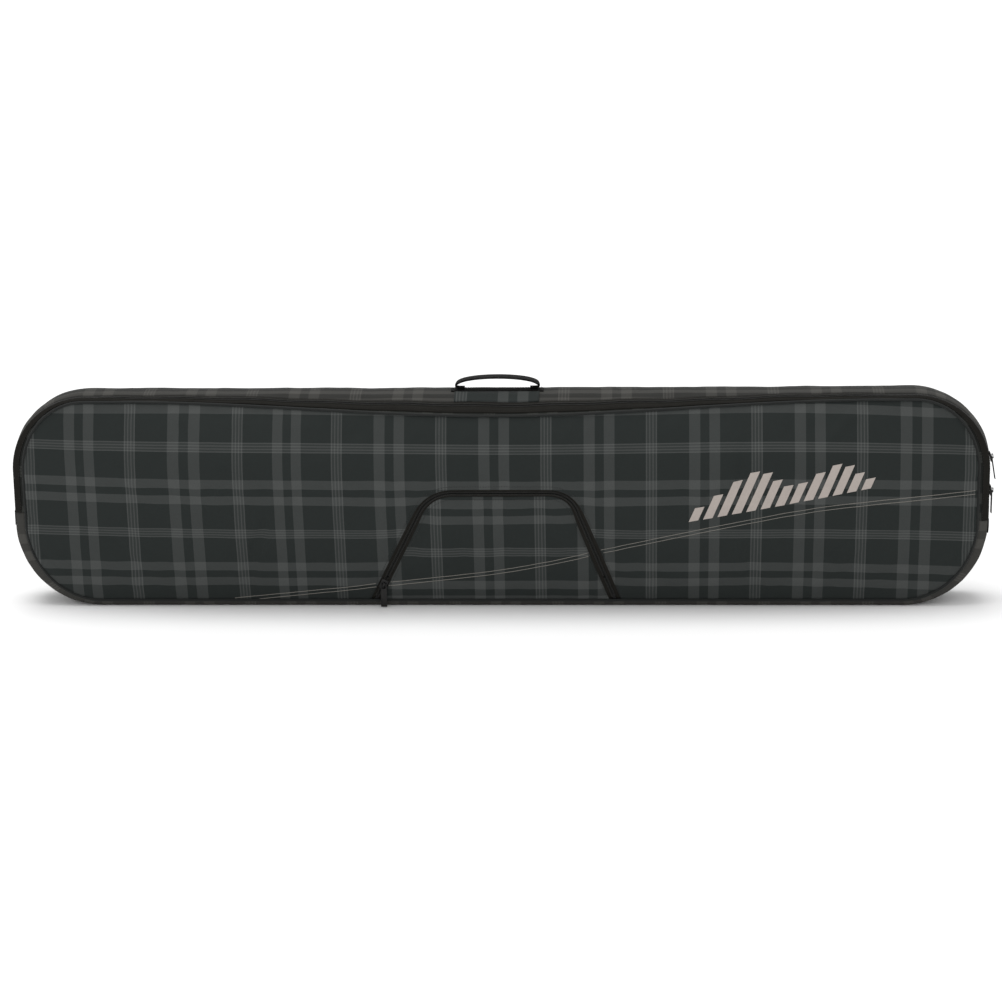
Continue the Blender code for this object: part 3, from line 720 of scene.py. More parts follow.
def cloth_nodes(name):
    """A material's nodes, the place on the flat cloth, and its two directions."""
    nodes = Nodes(name)
    place = nodes.cloth_place()
    along, across, _ = nodes.split(place)
    return nodes, place, along, across


def weave_height(nodes, along, across, pitch):
    """A plain weave: warp and weft bumps that take turns to lie on top."""
    turn = 2 * math.pi / pitch
    warp = nodes.math("SINE", nodes.math("MULTIPLY", along, turn))
    weft = nodes.math("SINE", nodes.math("MULTIPLY", across, turn))
    return nodes.math("MULTIPLY", warp, weft)


# One repeat of the plaid as (share, strength): four fine lines on a light ground, then two light bands
FINE_LINES = [stop for k in range(4) for stop in ((0.031 * k, 0.66), (0.031 * k + 0.011, 0.23))]
PLAID_STOPS = FINE_LINES[:-1] + [(0.104, 0.0), (0.408, 0.46), (0.512, 0.0), (0.600, 0.46), (0.700, 0.0)]
PLAID_DARK = linear(36, 40, 39)
PLAID_LIGHT = linear(75, 77, 76)


def plaid_lines(nodes, distance, repeat):
    return nodes.ramp(nodes.math("FRACT", nodes.math("DIVIDE", distance, repeat)), PLAID_STOPS, "CONSTANT")


def plaid_material(name, start, dark=PLAID_DARK, light=PLAID_LIGHT, sheen=0.02):
    """Polyester plaid: the repeat along and down, heathered threads, a plain weave and faint dust."""
    nodes, place, along, down = cloth_nodes(name)
    stripes = plaid_lines(nodes, nodes.math("SUBTRACT", along, start[0]), PLAID_ALONG)
    bands = plaid_lines(nodes, nodes.math("SUBTRACT", start[1], down), PLAID_DOWN)
    light_share = nodes.math("ADD", stripes, bands)
    heather = nodes.noise(place, 700.0, 3.0, 0.7)
    broad = nodes.noise(place, 14.0, 3.0)
    strength = nodes.math("MULTIPLY", light_share, nodes.math("MULTIPLY_ADD", heather, 0.5, 0.75))
    colour = nodes.mix_colour(strength, dark, light)
    shade = nodes.math("MULTIPLY_ADD", heather, 0.30, nodes.math("MULTIPLY_ADD", broad, 0.22, 0.74))
    colour = nodes.mix_colour(1.0, colour, nodes.ramp(shade, [(0.0, 0.0), (1.0, 1.0)]), "MULTIPLY")
    rough = nodes.math("MULTIPLY_ADD", heather, 0.18, 0.70)
    weave = weave_height(nodes, along, down, 0.0011)
    normal = nodes.bump(weave, 0.35, 0.00012, nodes.bump(broad, 0.25, 0.0015))
    return nodes.finish(colour, rough, normal, sheen=sheen, specular=0.14)


def shaded(colour, factor, added=0.0):
    return tuple(min(1.0, c * factor + added) for c in colour[:3]) + (1.0,)


def plain_cloth(name, colour, pitch, sheen=0.1, depth=0.0001):
    """A plain woven cloth with a little colour variation."""
    nodes, place, along, across = cloth_nodes(name)
    fine = nodes.noise(place, 600.0, 3.0, 0.7)
    broad = nodes.noise(place, 25.0, 3.0)
    shade = nodes.math("MULTIPLY_ADD", fine, 0.7, nodes.math("MULTIPLY", broad, 0.3))
    mixed = nodes.mix_colour(shade, shaded(colour, 0.72), shaded(colour, 1.25))
    rough = nodes.math("MULTIPLY_ADD", broad, 0.2, 0.62)
    normal = nodes.bump(weave_height(nodes, along, across, pitch), 0.5, depth)
    return nodes.finish(mixed, rough, normal, sheen=sheen, specular=0.2)


def slanted_ribs(nodes, along, across, fold, pitch):
    """Ribs across a tape that turn back and forth, fold apart, as a herringbone does."""
    zigzag = nodes.math("PINGPONG", across, fold)
    return nodes.math("SINE", nodes.math("MULTIPLY", nodes.math("ADD", along, zigzag), 2 * math.pi / pitch))


def webbing(name, colour):
    """Flat woven webbing with a herringbone rib."""
    nodes, place, along, across = cloth_nodes(name)
    ribs = slanted_ribs(nodes, along, across, 0.0028, 0.0013)
    fine = nodes.noise(place, 500.0, 3.0)
    worn = nodes.noise(place, 60.0, 4.0)
    shade = nodes.math("MULTIPLY_ADD", ribs, 0.14, nodes.math("MULTIPLY", nodes.math("ADD", fine, worn), 0.4))
    mixed = nodes.mix_colour(shade, colour, shaded(colour, 1.9))
    rough = nodes.math("MULTIPLY_ADD", worn, 0.25, 0.5)
    return nodes.finish(mixed, rough, nodes.bump(ribs, 0.6, 0.0002), specular=0.06)


def zip_tape_material(name, colour):
    """Knitted zip tape: fine chevrons."""
    nodes, place, along, across = cloth_nodes(name)
    ribs = slanted_ribs(nodes, along, across, 0.0011, 0.0010)
    fine = nodes.noise(place, 400.0, 3.0)
    broad = nodes.noise(place, 30.0, 2.0)
    shade = nodes.math("MULTIPLY_ADD", ribs, 0.15, nodes.math("MULTIPLY", fine, 0.9))
    mixed = nodes.mix_colour(shade, colour, shaded(colour, 1.6))
    rough = nodes.math("MULTIPLY_ADD", broad, 0.2, 0.6)
    return nodes.finish(mixed, rough, nodes.bump(ribs, 0.5, 0.00012), specular=0.10)


def moulded(name, colour, rough_low, specular=0.5, metallic=0.0, wear=0.0):
    """Moulded or painted parts: a fine grain, smudges, and paint worn from the edges."""
    nodes = Nodes(name)
    place = nodes.object_place()
    grain = nodes.noise(place, 2500.0, 2.0)
    smudge = nodes.noise(place, 120.0, 4.0, 0.6)
    edge = nodes.ramp(nodes.pointiness(), [(0.50, 0.0), (0.60, 1.0)])
    rubbed = nodes.math("MULTIPLY", nodes.math("MULTIPLY", edge, smudge), wear)
    mixed = nodes.mix_colour(smudge, colour, shaded(colour, 1.5, 0.002))
    mixed = nodes.mix_colour(rubbed, mixed, linear(120, 118, 114))
    rough = nodes.math("MULTIPLY_ADD", smudge, 0.3, rough_low)
    return nodes.finish(mixed, rough, nodes.bump(grain, 0.15, 0.00005), metallic=metallic, specular=specular)


def foam_material(name):
    """Closed-cell foam: fine pores."""
    nodes = Nodes(name)
    place = nodes.object_place()
    pores = nodes.noise(place, 1200.0, 3.0, 0.7)
    broad = nodes.noise(place, 20.0, 2.0)
    shade = nodes.math("MULTIPLY_ADD", pores, 0.6, broad)
    mixed = nodes.mix_colour(shade, linear(120, 120, 118), linear(168, 167, 164))
    rough = nodes.math("MULTIPLY_ADD", pores, 0.1, 0.85)
    return nodes.finish(mixed, rough, nodes.bump(pores, 0.6, 0.0003), specular=0.2)


def print_material(name):
    """A pale flexible print with the weave showing through."""
    nodes, place, along, down = cloth_nodes(name)
    grain = nodes.noise(place, 900.0, 3.0, 0.7)
    broad = nodes.noise(place, 40.0, 3.0)
    shade = nodes.math("MULTIPLY_ADD", grain, 0.7, nodes.math("MULTIPLY", broad, 0.4))
    mixed = nodes.mix_colour(shade, linear(150, 141, 135), linear(186, 176, 169))
    rough = nodes.math("MULTIPLY_ADD", grain, 0.15, 0.55)
    normal = nodes.bump(weave_height(nodes, along, down, 0.0011), 0.3, 0.0001)
    return nodes.finish(mixed, rough, normal, specular=0.35)


def floor_material():
    nodes = Nodes("studio_floor")
    faint = nodes.noise(nodes.object_place(), 3.0, 2.0)
    mixed = nodes.mix_colour(faint, (0.93, 0.93, 0.93, 1.0), (0.95, 0.95, 0.95, 1.0))
    return nodes.finish(mixed, nodes.math("MULTIPLY_ADD", faint, 0.05, 0.9), specular=0.0)


PLAID = plaid_material("plaid_panel", PANEL_PLAID)
PLAID_FLAP = plaid_material("plaid_flap", FLAP_PLAID)
# The gusset's plaid is a copy of the panel's with lower contrast and its light threads dimmed as painted
# shade.
PLAID_GUSSET_SHADED = plaid_material("plaid_gusset_painted_shade", GUSSET_PLAID, linear(41, 41, 39), linear(70, 69, 66), 0.03)
# The front strip's plaid is a darker copy of the panel's: painted shade.
PLAID_STRIP_SHADED = plaid_material("plaid_strip_painted_shade", STRIP_PLAID, linear(30, 32, 30), linear(62, 63, 60))
PLAID_PATCH = plaid_material("plaid_patch", PATCH_PLAID)
LINING_CLOTH = plain_cloth("lining_nylon", linear(58, 58, 60), 0.0007, 0.15, 0.00006)
POUCH_CLOTH = plain_cloth("pouch_nylon", linear(40, 41, 42), 0.0007, 0.12, 0.00006)
PIPING_TWILL = plain_cloth("piping_twill", linear(30, 32, 31), 0.0009, 0.1)
BINDING_TWILL = plain_cloth("binding_twill", linear(24, 24, 24), 0.0012, 0.1)
STRAP = webbing("handle_webbing", linear(15, 15, 14))
TAPE = zip_tape_material("zip_tape_knit", linear(21, 20, 17))
POCKET_TAPE = zip_tape_material("pocket_tape_knit", linear(24, 23, 20))
COIL = moulded("zip_coil_nylon", linear(20, 20, 17), 0.35, 0.4)
METAL = moulded("slider_enamel", linear(10, 10, 11), 0.22, 0.28, 0.1, 0.2)
PULL = moulded("pull_enamel", linear(9, 9, 10), 0.25, 0.2, 0.0, 0.12)
THREAD = plain_cloth("sewing_thread", linear(34, 34, 33), 0.0004, 0.1)
LINE_THREAD = plain_cloth("contrast_line_thread", linear(120, 117, 111), 0.0006, 0.1)
FOAM_CELLS = foam_material("foam_cells")
PRINT = print_material("printed_graphic")


# ---------------------------------------------------------------- pocket outline


def leg_point(point, way, z):
    return point + way * ((z - point.y) / way.y)


def corner_arc(corner, way_in, way_out, radius, offset, steps):
    """A rounded corner turning clockwise from way_in to way_out, moved outwards by offset."""
    turn = way_in.angle(way_out)
    start = corner - way_in * radius * math.tan(turn / 2)
    centre = start + Vector((way_in.y, -way_in.x)) * radius
    first = math.atan2(way_in.x, -way_in.y)
    arc = []
    for k in range(steps + 1):
        angle = first - turn * k / steps
        arc.append(centre + float(radius + offset) * Vector((math.cos(angle), math.sin(angle))))
    return arc


def pocket_path(offset, end_z, step=FINE_STEP):
    """The pocket zip's line moved outwards by offset, from the left foot to the right one, as (x, z)."""
    left_foot = Vector((POCKET_LEFT_X, BOTTOM_EDGE_Z))
    top_left = Vector((POCKET_TOP_LEFT_X, POCKET_TOP_Z))
    top_right = Vector((POCKET_TOP_RIGHT_X, POCKET_TOP_Z))
    right_foot = Vector((POCKET_RIGHT_X, BOTTOM_EDGE_Z))
    up = (top_left - left_foot).normalized()
    down = (right_foot - top_right).normalized()
    left_out = Vector((-up.y, up.x))
    right_out = Vector((-down.y, down.x))
    corners = [leg_point(left_foot + left_out * float(offset), up, end_z)]
    corners += corner_arc(top_left, up, Vector((1, 0)), POCKET_LEFT_RADIUS, offset, 24)
    corners += corner_arc(top_right, Vector((1, 0)), down, POCKET_RIGHT_RADIUS, offset, 18)
    corners.append(leg_point(right_foot + right_out * float(offset), down, end_z))
    return even_points(np.array([(p.x, p.y) for p in corners]), step)


def cloth_edge(side):
    """The edge of the panel's cloth (side 1) or the flap's (side -1). More tape is bare on the legs."""
    line = pocket_path(0.0, 0.0)
    beside = even_rows(pocket_path(0.001, 0.0), len(line))
    ways = unit(beside - line)
    top = smooth((line[:, 1] - 0.150) / 0.040)
    legs = np.where(line[:, 0] < 0, BARE_TAPE_LEFT, BARE_TAPE_RIGHT)
    return line + side * ways * mix(legs, BARE_TAPE_TOP, top)[:, None]


def pocket_plane_y(z, lean=FRONT_LEAN):
    return -(END_HALF_DEPTH + lean * (z - BOTTOM_EDGE_Z))


def distance_inside(places, outline):
    """The distance from each place to the open outline, negative inside it, and the nearest place on it."""
    start, end = outline[:-1], outline[1:]
    run = end - start
    share = np.einsum("nsk,sk->ns", places[:, None] - start[None], run) / np.sum(run**2, axis=1)
    nearest = start[None] + share.clip(0.0, 1.0)[:, :, None] * run[None]
    gaps = np.linalg.norm(places[:, None] - nearest, axis=2)
    best = gaps.argmin(axis=1)
    rows = np.arange(len(places))
    x, z = places[:, :1], places[:, 1:]
    crosses = (start[None, :, 1] > z) != (end[None, :, 1] > z)
    level = start[None, :, 0] + (z - start[None, :, 1]) / np.where(run[:, 1] == 0, 1.0, run[:, 1]) * run[:, 0]
    to_right = np.sum(crosses & (level > x), axis=1)
    to_left = np.sum(crosses & (level <= x), axis=1)
    inside = (to_right % 2 == 1) & (to_left % 2 == 1)
    return np.where(inside, -1.0, 1.0) * gaps[rows, best], nearest[rows, best]


def cut_grid(places, faces, outline, keep_inside, cell):
    """Fits a flat grid to the pocket's outline: near points move on to it and the other side is dropped."""
    side, nearest = distance_inside(places, outline)
    snapped = np.abs(side) < 0.5 * cell
    places = np.where(snapped[:, None], nearest, places)
    side = np.where(snapped, 0.0, side if keep_inside else -side)
    kept = []
    for face in faces:
        values = [side[v] for v in face]
        if max(values) <= 0.0 and min(values) < 0.0:
            kept.append(face)
        elif min(values) < 0.0:
            for corner in range(4):
                triangle = (face[corner], face[(corner + 1) % 4], face[(corner + 2) % 4])
                if all(side[v] <= 0.0 for v in triangle):
                    kept.append(triangle)
                    break
    used = sorted({v for face in kept for v in face})
    index = {v: i for i, v in enumerate(used)}
    return places[used], [tuple(index[v] for v in face) for face in kept]


# ---------------------------------------------------------------- panels


def panel_columns(step, clearance):
    reach = HALF_LENGTH - BOTTOM_CORNER
    corner = panel_end_x(clearance) - reach
    ends = [reach + corner * math.sin(a) for a in spread(0, math.pi / 2, step / corner)[1:]]
    return [-x for x in reversed(ends)] + list(spread(-reach, reach, step)) + ends


def panel_places(step, clearance):
    """A flat grid over a panel, as (x, z), and how many columns and rows it has."""
    columns = panel_columns(step, clearance)
    rows = int(round((BAG_HEIGHT - TOP_MIDDLE_SEAM_INSET) / step))
    places = []
    for x in columns:
        low, high = panel_edges(x, clearance)
        places += [(x, z) for z in np.linspace(low, high, rows)]
    return np.array(places), len(columns), rows


def drifted(places):
    """The flat cloth under each place: the plaid isn't quite square to the panel that is cut from it."""
    x, z = places[:, 0], places[:, 1]
    left = 0.008 * hump(x, -0.42, 0.09)
    right = 0.005 * smooth((x - 0.62) / 0.12)
    dip = 0.0025 * hump(x, 0.05, 0.25)
    fall = 0.0136 * (np.clip(x - 0.35, 0.0, None) / 0.4) ** 2
    return np.stack((x - left - right, z + dip + fall), axis=1)


def panel_points(places, side, lean, depth):
    return [(x, side * (END_HALF_DEPTH + bulge(x, z, lean) - depth), z) for x, z in places]


def crease(places, top, bottom, width):
    """A shallow groove of a given width along a line between two places."""
    start, end = np.array(top), np.array(bottom)
    run = end - start
    share = ((places - start) @ run / (run @ run)).clip(-0.2, 1.2)
    off = places - start - share[:, None] * run
    fade = smooth((share + 0.2) / 0.3) * smooth((1.2 - share) / 0.3)
    return fade * hump(np.linalg.norm(off, axis=1), 0.0, width)


def soften_skin(obj, creases, seed):
    """Wrinkles that the padding and the seams leave: broad swells, puckers at the edges and a few creases."""
    places = read_points(obj.data)[:, (0, 2)]
    edge = edge_share(obj.data, 7)
    inner = 1.0 - edge
    swells = SWELL_HEIGHT * ripple(places, SWELL_SIZE, seed)
    dimples = DIMPLE_HEIGHT * ripple(places, DIMPLE_SIZE, seed + 5)
    puckers = PUCKER_HEIGHT * ripple(places * (1.0, 0.35), PUCKER_SIZE, seed + 9)
    out = inner * (PUFF + swells + dimples + puckers * edge)
    for top, bottom, width, depth in creases:
        out -= depth * crease(places, top, bottom, width) * np.minimum(1.0, 3 * inner)
    out = np.maximum(out, -DEEPEST_DENT)
    out[boundary(obj.data)] = 0.0
    move_along_normals(obj, out)


def fill_out(obj, held, pressure, cap, creases, seed):
    """Fills, subdivides and dents a cloth, and gives its outer surface for what lies on it."""
    face_outwards(obj)
    simulate(obj, held, pressure, cap)
    subdivide(obj)
    soften_skin(obj, creases, seed)
    faces = [tuple(face.vertices) for face in obj.data.polygons]
    return BVHTree.FromPolygons(read_points(obj.data).tolist(), faces)


def finish_skin(skin, body, node):
    thicken(skin, CLOTH)
    dress(skin, body, [PLAID, LINING_CLOTH], [node])


def make_front_skin():
    places, columns, rows = panel_places(PANEL_STEP, SKIN_CLEARANCE)
    places, faces = cut_grid(places, grid_faces(columns, rows), cloth_edge(1), False, PANEL_STEP)
    skin = make_object("front_panel_cloth", panel_points(places, -1, FRONT_LEAN, 0.0), faces, drifted(places))
    creases = (
        ((-0.372, 0.150), (-0.420, 0.015), 0.008, 0.0036),
        ((-0.392, 0.120), (-0.400, 0.015), 0.006, 0.0015),
        ((0.405, 0.300), (0.386, 0.200), 0.012, 0.0034),
        ((0.400, 0.110), (0.416, 0.020), 0.011, 0.0030),
        ((-0.200, 0.300), (-0.330, 0.250), 0.012, 0.0012),
        ((0.235, 0.060), (0.190, 0.120), 0.010, 0.0015),
        ((0.640, 0.060), (0.700, 0.090), 0.012, 0.0012),
        ((-0.640, 0.060), (-0.700, 0.100), 0.012, 0.0012),
        ((0.014, 0.236), (0.012, 0.210), 0.006, 0.0026),
    )
    surface = fill_out(skin, boundary(skin.data), 1.2, 0.007, creases, 3.0)
    finish_skin(skin, "lid", "front_panel")
    return surface


def make_back_skin():
    places, columns, rows = panel_places(PANEL_STEP, SKIN_CLEARANCE)
    points = panel_points(places, 1, BACK_LEAN, 0.0)
    skin = make_object("back_panel_cloth", points, grid_faces(columns, rows), places)
    creases = (
        ((-0.300, 0.300), (-0.340, 0.030), 0.014, 0.0016),
        ((0.280, 0.290), (0.320, 0.040), 0.012, 0.0016),
        ((0.620, 0.070), (0.700, 0.110), 0.012, 0.0014),
    )
    fill_out(skin, boundary(skin.data), 1.0, 0.006, creases, 17.0)
    finish_skin(skin, "root", "back_panel")


def make_layer(name, body, side, lean, depth, thickness, slot_name, material, wrinkle):
    """A foam board or a lining behind a skin. The first two words of its name are its CAD node."""
    places, columns, rows = panel_places(2 * PANEL_STEP, LAYER_CLEARANCE)
    points = panel_points(places, side, lean, depth)
    layer = make_object(name, points, grid_faces(columns, rows), places)
    face_outwards(layer)
    subdivide(layer)
    if wrinkle > 0:
        places = read_cloth(layer.data)[:, :2]
        folds = np.abs(ripple(places, 0.06, 31.0)) + 0.5 * np.abs(ripple(places, 0.02, 37.0))
        move_along_normals(layer, -wrinkle * folds * (1.0 - edge_share(layer.data, 4)))
    thicken(layer, thickness)
    dress(layer, body, [material, material], [name.rsplit("_", 1)[0]])
    return layer


def make_layers():
    """The foam, the lining and the bound edge of each panel. The pouch lies under the front's skin."""
    panels = (("front", "lid", -1, FRONT_INNER_LEAN, POUCH + GAP), ("back", "root", 1, BACK_LEAN, 0.0))
    for name, body, side, lean, pouch in panels:
        depth = CLOTH + GAP + pouch
        foam = make_layer(name + "_foam_board", body, side, lean, depth, FOAM, "foam", FOAM_CELLS, 0.0)
        depth += FOAM + GAP
        lining = (LINING, "lining", LINING_CLOTH, LINING_WRINKLE)
        make_layer(name + "_lining_cloth", body, side, lean, depth, *lining)
    for name, body, side, lean, pouch in panels:
        make_binding(name + "_binding", body, side, lean, CLOTH + pouch + FOAM + LINING + 2 * GAP)


def panel_outline(clearance, step):
    """The panel's edge as (x, z), once round."""
    columns = panel_columns(step, clearance)
    upper = [(x, panel_edges(x, clearance)[1]) for x in columns]
    lower = [(x, panel_edges(x, clearance)[0]) for x in reversed(columns)]
    return even_points(np.array(upper + lower + upper[:1]), step)[:-1]


def make_binding(name, body, side, lean, inner_depth):
    """The bound edge inside a panel: a tape folded over the edges of the foam and the lining."""
    outline = panel_outline(LAYER_CLEARANCE + 0.0015, 0.006)
    middle_z = outline[:, 1].mean()
    points = []
    for x, z in outline:
        out = np.array((x, z)) - np.array((np.clip(x, -0.64, 0.64), middle_z))
        out /= np.linalg.norm(out)
        outer = END_HALF_DEPTH + bulge(x, z, lean)
        inner = outer - inner_depth - 0.0009
        fold = ((-0.0075, inner), (-0.0050, inner - 0.0005), (-0.0015, inner), (0.0012, inner + 0.002))
        for away, y in fold + ((0.0015, outer - CLOTH),):
            points.append((x + out[0] * away, side * y, z + out[1] * away))
    places = [(length, k * 0.003) for length in lengths_along(outline) for k in range(5)]
    binding = make_object(name, points, grid_faces(len(outline), 5, closed=True), places)
    face_outwards(binding)
    thicken(binding, BINDING_THICKNESS)
    dress(binding, body, [BINDING_TWILL, BINDING_TWILL])


# ---------------------------------------------------------------- gusset and piping


def strip_object(name, stations, v_lines, puff=0.0, seed=0.0):
    """A sheet along the gusset. Its flat place runs along the outline and across it."""
    grid = np.array([[gusset_point(s, v) for v in v_lines(s)] for s in stations])
    rows, columns = grid.shape[:2]
    along = lengths_along(grid[:, columns // 2])
    along -= np.interp(0.0, -grid[:, columns // 2, 0], along)
    places = [(-along[i], -grid[i, k, 1]) for i in range(rows) for k in range(columns)]
    sheet = make_object(name, grid.reshape(-1, 3), grid_faces(rows, columns), places)
    face_outwards(sheet, read_points(sheet.data) * (0.8, 0.0, 0.0) + (0.0, 0.0, BAG_HEIGHT / 2))
    if puff > 0:
        flat = read_cloth(sheet.data)[:, :2]
        edge = edge_share(sheet.data, 3)
        broad = ripple(flat, 0.07, seed)
        fine = ripple(flat * (1.0, 0.5), 0.022, seed + 3)
        move_along_normals(sheet, (1.0 - edge) * puff * (broad + 0.5 * fine))
    return sheet


def back_lines(station):
    inner = band_v(station, -ZIP_HALF_WIDTH)
    return list(np.linspace(-1.0, -inner, 5)) + list(np.linspace(-inner, inner, 17))[1:]


def make_gusset():
    crown = strip_object("gusset_top_cloth", zip_stations(STRIP_STEP), back_lines, 0.0011, 7.0)
    thicken(crown, GUSSET_CLOTH)
    dress(crown, "root", [PLAID_GUSSET_SHADED, LINING_CLOTH], ["gusset_top"])

    def lip_lines(station):
        return np.linspace(band_v(station, ZIP_HALF_WIDTH - 0.0004), 1.0, 5)

    lip = strip_object("gusset_front_strip_cloth", zip_stations(STRIP_STEP), lip_lines, 0.0003, 11.0)
    thicken(lip, CLOTH)
    dress(lip, "lid", [PLAID_STRIP_SHADED, LINING_CLOTH], ["gusset_front_strip"])

    def base_lines(station):
        front = 0.60
        return list(np.linspace(-1.0, front, 15)) + list(np.linspace(front, 1.0, 13))[1:]

    base = strip_object("gusset_base_cloth", base_stations(STRIP_STEP), base_lines, 0.0, 13.0)
    flat = read_cloth(base.data)[:, :2]
    rising = np.clip(read_points(base.data)[:, 2] / 0.06, 0.0, 1.0)
    wrinkle = 0.0009 * ripple(flat, 0.06, 19.0) + 0.0005 * ripple(flat, 0.02, 23.0)
    move_along_normals(base, wrinkle * rising * (1.0 - edge_share(base.data, 3)))
    thicken(base, GUSSET_CLOTH)
    dress(base, None, [PLAID_GUSSET_SHADED, LINING_CLOTH], ["gusset_base"])
    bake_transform(base)


def tube(name, centres, radius, sides, closed, seed=0.0, wobble=0.0):
    """A round cord along a line of points, with its flat place along and round it."""
    count = len(centres)
    rows = []
    for i, centre in enumerate(centres):
        ahead = centres[(i + 1) % count] if closed or i + 1 < count else centre
        behind = centres[i - 1] if closed or i > 0 else centre
        along = Vector(ahead) - Vector(behind)
        along.normalize()
        side = along.cross(Vector((0.0, 1.0, 0.0))).normalized()
        up = side.cross(along)
        girth = radius * (1.0 + wobble * noise.noise((i * 0.35, seed, 0.0)))
        for k in range(sides + 1):
            angle = 2 * math.pi * k / sides
            rows.append(tuple(Vector(centre) + girth * (math.cos(angle) * side + math.sin(angle) * up)))
    step = np.linalg.norm(np.array(centres[1]) - np.array(centres[0]))
    places = [(i * step, k * 2 * math.pi * radius / sides) for i in range(count) for k in range(sides + 1)]
    return make_object(name, rows, grid_faces(count, sides + 1, closed), places)


def make_piping():
    stations = zip_stations(STRIP_STEP) + base_stations(STRIP_STEP)
    for name, v, body in (("front", 1.0, "lid"), ("back", -1.0, "root")):
        centres = [gusset_point(s, v) for s in stations]
        piping = tube("piping_%s_cord" % name, centres, PIPING_RADIUS, 12, True, 2.0, 0.06)
        dress(piping, body, [PIPING_TWILL], ["piping_" + name])


# ---------------------------------------------------------------- zips


def tooth_template(length, width, height):
    """One coil tooth as rings of points across the tape: a rounded bar."""
    rings = []
    for across, scale in ((0.0, 0.55), (0.16, 1.0), (0.84, 1.0), (1.0, 0.55)):
        for k in range(6):
            angle = math.pi * (2 * k + 1) / 6
            along, out = math.cos(angle) * width / 2, math.sin(angle) * height / 2
            rings.append((across * length, scale * along, scale * out))
    faces = []
    for ring in range(3):
        for k in range(6):
            m = (k + 1) % 6
            a, b = ring * 6, ring * 6 + 6
            faces.append((a + k, a + m, b + m, b + k))
    faces.append(tuple(range(5, -1, -1)))
    faces.append(tuple(range(18, 24)))
    return np.array(rings), faces


def make_teeth(name, frames, bottom, top, first):
    """A row of coil teeth, on every second frame from the first. Each reaches along its across direction."""
    centres, alongs, acrosses, outs = frames
    template, faces = tooth_template(COIL_EDGE - COIL_SLOT, TOOTH_PITCH * TOOTH_SHARE, top - bottom)
    points, every = [], []
    for number, i in enumerate(range(first, len(centres), 2)):
        middle = centres[i] + outs[i] * (top + bottom) / 2
        points.append(middle + template @ np.array((acrosses[i], alongs[i], outs[i])))
        every += [tuple(v + number * len(template) for v in face) for face in faces]
    return make_object(name, np.vstack(points), every)


def track_frames(stations, offset):
    """Centres, and the along, across (towards +offset) and outward directions, on a gusset line."""
    centres = np.array([gusset_point(s, band_v(s, offset)) for s in stations])
    beside = np.array([gusset_point(s, band_v(s, offset + math.copysign(0.002, offset))) for s in stations])
    alongs = unit(np.gradient(centres, axis=0))
    acrosses = unit(beside - centres)
    outs = np.cross(alongs, acrosses)
    ways = np.array([(s.way_x, 0.0, s.way_z) for s in stations])
    outs *= np.sign(np.sum(outs * ways, axis=1, keepdims=True))
    return centres, alongs, acrosses, outs


def make_main_zip():
    fine = zip_stations(TOOTH_PITCH / 2)
    for name, side, body in (("front", 1, "lid"), ("back", -1, "root")):
        frames = track_frames(fine, side * COIL_SLOT)
        first = 1 if side > 0 else 0
        teeth = make_teeth("zip_coil_%s_teeth" % name, frames, -COIL_BELOW, COIL_ABOVE, first)
        dress(teeth, body, [COIL], ["zip_coil_" + name])

        def tape_lines(station, side=side):
            lines = [band_v(station, side * (COIL_EDGE - 0.0015 + k * 0.0011)) for k in range(5)]
            if side > 0:
                lines += [mix(lines[4], 1.0, share) for share in TAPE_OVER_STRIP]
            return lines

        tape = strip_object("zip_tape_%s_knit" % name, zip_stations(STRIP_STEP), tape_lines)
        columns = 5 + (len(TAPE_OVER_STRIP) if side > 0 else 0)
        edge_lift = TAPE_LIFT_OVER_STRIP if side > 0 else TAPE_LIFT
        lifts = np.interp(np.arange(columns), (3, 5), (TAPE_LIFT, edge_lift))
        move_along_normals(tape, np.tile(lifts, len(tape.data.vertices) // columns))
        thicken(tape, TAPE_THICKNESS)
        dress(tape, body, [TAPE, TAPE], ["zip_tape_" + name])


def make_end_tabs():
    for name, side, end_z in (("left", -1, ZIP_LEFT_END_Z), ("right", 1, ZIP_RIGHT_END_Z)):
        stations = []
        for z in spread(end_z + 0.002, end_z - TAB_LENGTH, 0.0015):
            if z >= BOTTOM_CORNER:
                stations.append(end_station(side, z))
            else:
                stations.append(bottom_corner_station(side, math.asin((BOTTOM_CORNER - z) / BOTTOM_CORNER)))

        def tab_lines(station):
            return [band_v(station, offset) for offset in np.linspace(-TAB_HALF_WIDTH, TAB_HALF_WIDTH, 9)]

        tab = strip_object("zip_end_tab_%s_web" % name, stations, tab_lines)
        crown = 1.0 - edge_share(tab.data, 2)
        move_along_normals(tab, GAP + TAB_THICKNESS * (0.7 + 0.3 * crown))
        thicken(tab, TAB_THICKNESS * 0.8)
        dress(tab, "root", [STRAP, STRAP], ["zip_end_tab_" + name])


def bevelled_copy(node, body, material, width):
    """A CAD metal part with its edges rounded."""
    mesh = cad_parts[node].data.copy()
    mesh.materials.clear()
    shape = bmesh.new()
    shape.from_mesh(mesh)
    bmesh.ops.remove_doubles(shape, verts=shape.verts, dist=0.00001)
    bmesh.ops.dissolve_limit(shape, angle_limit=math.radians(1), verts=shape.verts, edges=shape.edges)
    shape.to_mesh(mesh)
    shape.free()
    obj = bpy.data.objects.new(node + "_rounded", mesh)
    scene.collection.objects.link(obj)
    bevel = obj.modifiers.new("bevel", "BEVEL")
    bevel.width = width
    bevel.segments = 3
    bevel.limit_method = "ANGLE"
    bpy.context.view_layer.update()
    obj.data = bpy.data.meshes.new_from_object(obj.evaluated_get(bpy.context.evaluated_depsgraph_get()))
    obj.modifiers.remove(bevel)
    return dress(obj, body, [material], [node])


